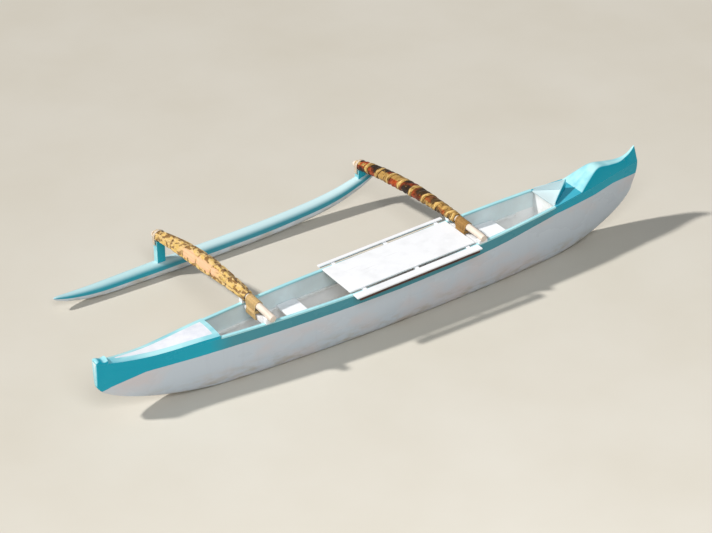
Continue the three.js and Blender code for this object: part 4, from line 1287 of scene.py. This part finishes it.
def build_float(context):
    """The float as a loft of ellipses, and the paint on its posts.

    The ellipses' size and height follow the stations smoothly, and the two noses close as a
    quarter ellipse.
    """
    colours, nose = context.scene.canoe_colours, FLOAT["nose"]
    start, end = FLOAT_STATIONS[0, 0], FLOAT_STATIONS[-1, 0]
    curve = spline_through(FLOAT_STATIONS, 16)
    close = np.sin(np.linspace(0, np.pi / 2, 10)) * nose
    x = np.unique(np.concatenate([curve[:, 0], start + nose - close, end - nose + close]))
    share = np.interp(x, curve[:, 0], curve[:, 2])
    centre = np.maximum(np.interp(x, curve[:, 0], curve[:, 1]), share * FLOAT["high"] / 2)
    tip = np.clip(1 - np.minimum(x - start, end - x) / nose, 0, 1)
    share = share * np.sqrt(np.clip(1 - 0.98 * tip ** 2, 0.001, 1))
    x, share, centre = x[:, None], share[:, None], centre[:, None]
    turn = np.linspace(0, 2 * np.pi, 64, endpoint=False)[None, :]
    y = FLOAT["y"] + share * FLOAT["wide"] / 2 * np.cos(turn)
    z = centre + share * FLOAT["high"] / 2 * np.sin(turn)
    edge = centre + FLOAT["edge"] * share + FLOAT["edge_wave"] * np.sin(9 * x)
    skin = grid_mesh("float_skin", np.stack(np.broadcast_arrays(x, y, z), -1), wrap=True,
                     values={"above_edge": z - edge})
    keep(skin, "ama", slot="turquoise_paint", material=float_enamel(colours))
    paint = deck_enamel(colours, "gloss_enamel_on_float_posts")
    finish_nodes(("front_ama_post", "rear_ama_post"), paint, context.scene.canoe_sizes.edge)


def look_at(obj, place, aim, roll=0.0):
    """Puts a lamp or the camera at a place, turned to an aim point and rolled in degrees."""
    turn = (Vector(aim) - Vector(place)).to_track_quat("-Z", "Y")
    obj.location = place
    obj.rotation_mode = "QUATERNION"
    obj.rotation_quaternion = turn @ Quaternion((0, 0, 1), math.radians(roll))
    bpy.context.scene.collection.objects.link(obj)


def lamp(name, kind, about):
    """A lamp of that kind, with its power and colour, at its place and turned to its aim."""
    light = bpy.data.lights.new(name, kind)
    light.energy, light.color = about["power"], about["colour"]
    look_at(bpy.data.objects.new(name, light), about["place"], about["aim"])
    return light


def build_stage(context):
    """Pale floor, camera, a warm sun from aft and port, and cool soft light from the sky."""
    half = context.scene.canoe_sizes.floor
    spread = np.linspace(-half, half, 3)
    points = np.stack(np.meshgrid(spread, spread, [0.0], indexing="ij"), -1)[:, :, 0]
    floor = grid_mesh("floor", points)
    material, tree, where = start_material("pale_matt_floor")
    clouds = spots(tree, where, 1667, 0.3, 0.7)
    tone = layered(tree, "DBD5C9", ("D5CEC0", clouds, 1))
    floor.data.materials.append(dressed(material, tone, (clouds, 0.85, 0.95), [(clouds, 0.0001)]))
    camera = bpy.data.objects.new("camera", bpy.data.cameras.new("camera"))
    camera.data.lens, camera.data.clip_end = CAMERA["lens"], CAMERA["clip"]
    look_at(camera, CAMERA["place"], CAMERA["aim"], CAMERA["roll"])
    context.scene.camera = camera
    lamp("key", "SUN", SUN).angle = math.radians(SUN["spread"])
    fill = lamp("fill", "AREA", FILL)
    fill.shape, fill.size = "DISK", FILL["size"]
    world = bpy.data.worlds.new("soft_sky")
    world.use_nodes = True
    background = world.node_tree.nodes["Background"]
    background.inputs["Color"].default_value = SKY["colour"]
    background.inputs["Strength"].default_value = SKY["strength"]
    context.scene.world = world
    context.scene.view_settings.view_transform = "Standard"


class CANOE_OT_stage(bpy.types.Operator):
    """Make the floor, lights and camera"""

    bl_idname = "canoe.stage"
    bl_label = "Stage"

    def execute(self, context):
        build_stage(context)
        return {"FINISHED"}


class CANOE_OT_hull(bpy.types.Operator):
    """Make the hull's painted skin"""

    bl_idname = "canoe.hull"
    bl_label = "Hull"

    def execute(self, context):
        build_hull(context)
        return {"FINISHED"}


class CANOE_OT_rails(bpy.types.Operator):
    """Make the cap rails and finish what is inside the hull"""

    bl_idname = "canoe.rails"
    bl_label = "Rails and bulkheads"

    def execute(self, context):
        build_rails(context)
        return {"FINISHED"}


class CANOE_OT_decks(bpy.types.Operator):
    """Make both decks, the stern tip, the raised bow and the breakwater"""

    bl_idname = "canoe.decks"
    bl_label = "Decks and ends"

    def execute(self, context):
        build_decks(context)
        return {"FINISHED"}


class CANOE_OT_boards(bpy.types.Operator):
    """Finish the seats and the platform"""

    bl_idname = "canoe.boards"
    bl_label = "Seats and platform"

    def execute(self, context):
        build_boards(context)
        return {"FINISHED"}


class CANOE_OT_beams(bpy.types.Operator):
    """Make the two poles and finish their saddles"""

    bl_idname = "canoe.beams"
    bl_label = "Beams"

    def execute(self, context):
        build_beams(context)
        return {"FINISHED"}


class CANOE_OT_front_cloth(bpy.types.Operator):
    """Wind the printed strip round the front beam"""

    bl_idname = "canoe.front_cloth"
    bl_label = "Front cloth"

    def execute(self, context):
        build_front_cloth(context)
        return {"FINISHED"}


class CANOE_OT_rear_cloth(bpy.types.Operator):
    """Roll the printed cloth along the rear beam"""

    bl_idname = "canoe.rear_cloth"
    bl_label = "Rear cloth"

    def execute(self, context):
        build_rear_cloth(context)
        return {"FINISHED"}


class CANOE_OT_lashings(bpy.types.Operator):
    """Wind the coir lashings and ties"""

    bl_idname = "canoe.lashings"
    bl_label = "Lashings"

    def execute(self, context):
        build_lashings(context)
        return {"FINISHED"}


class CANOE_OT_float(bpy.types.Operator):
    """Make the float's painted skin and finish its posts"""

    bl_idname = "canoe.float"
    bl_label = "Float"

    def execute(self, context):
        build_float(context)
        return {"FINISHED"}


class CANOE_PT_panel(bpy.types.Panel):
    """Lists the canoe's colours, sizes and pieces"""

    bl_label = "Outrigger canoe"
    bl_space_type = "VIEW_3D"
    bl_region_type = "UI"
    bl_category = "Canoe"

    def draw(self, context):
        layout = self.layout
        for group in (context.scene.canoe_colours, context.scene.canoe_sizes):
            for key in group.__annotations__:
                layout.prop(group, key)
        for operator in OPERATORS:
            layout.operator(operator.bl_idname)


OPERATORS = (
    CANOE_OT_stage, CANOE_OT_hull, CANOE_OT_rails, CANOE_OT_decks, CANOE_OT_boards, CANOE_OT_beams,
    CANOE_OT_front_cloth, CANOE_OT_rear_cloth, CANOE_OT_lashings, CANOE_OT_float,
)
CLASSES = (CanoeColours, CanoeSizes, *OPERATORS, CANOE_PT_panel)


def register():
    for item in CLASSES:
        bpy.utils.register_class(item)
    bpy.types.Scene.canoe_colours = bpy.props.PointerProperty(type=CanoeColours)
    bpy.types.Scene.canoe_sizes = bpy.props.PointerProperty(type=CanoeSizes)


def unregister():
    del bpy.types.Scene.canoe_sizes
    del bpy.types.Scene.canoe_colours
    for item in reversed(CLASSES):
        bpy.utils.unregister_class(item)


def main():
    """Builds every piece in order."""
    register()
    for operator in OPERATORS:
        getattr(bpy.ops.canoe, operator.bl_idname.split(".")[1])()


if __name__ == "__main__":
    main()
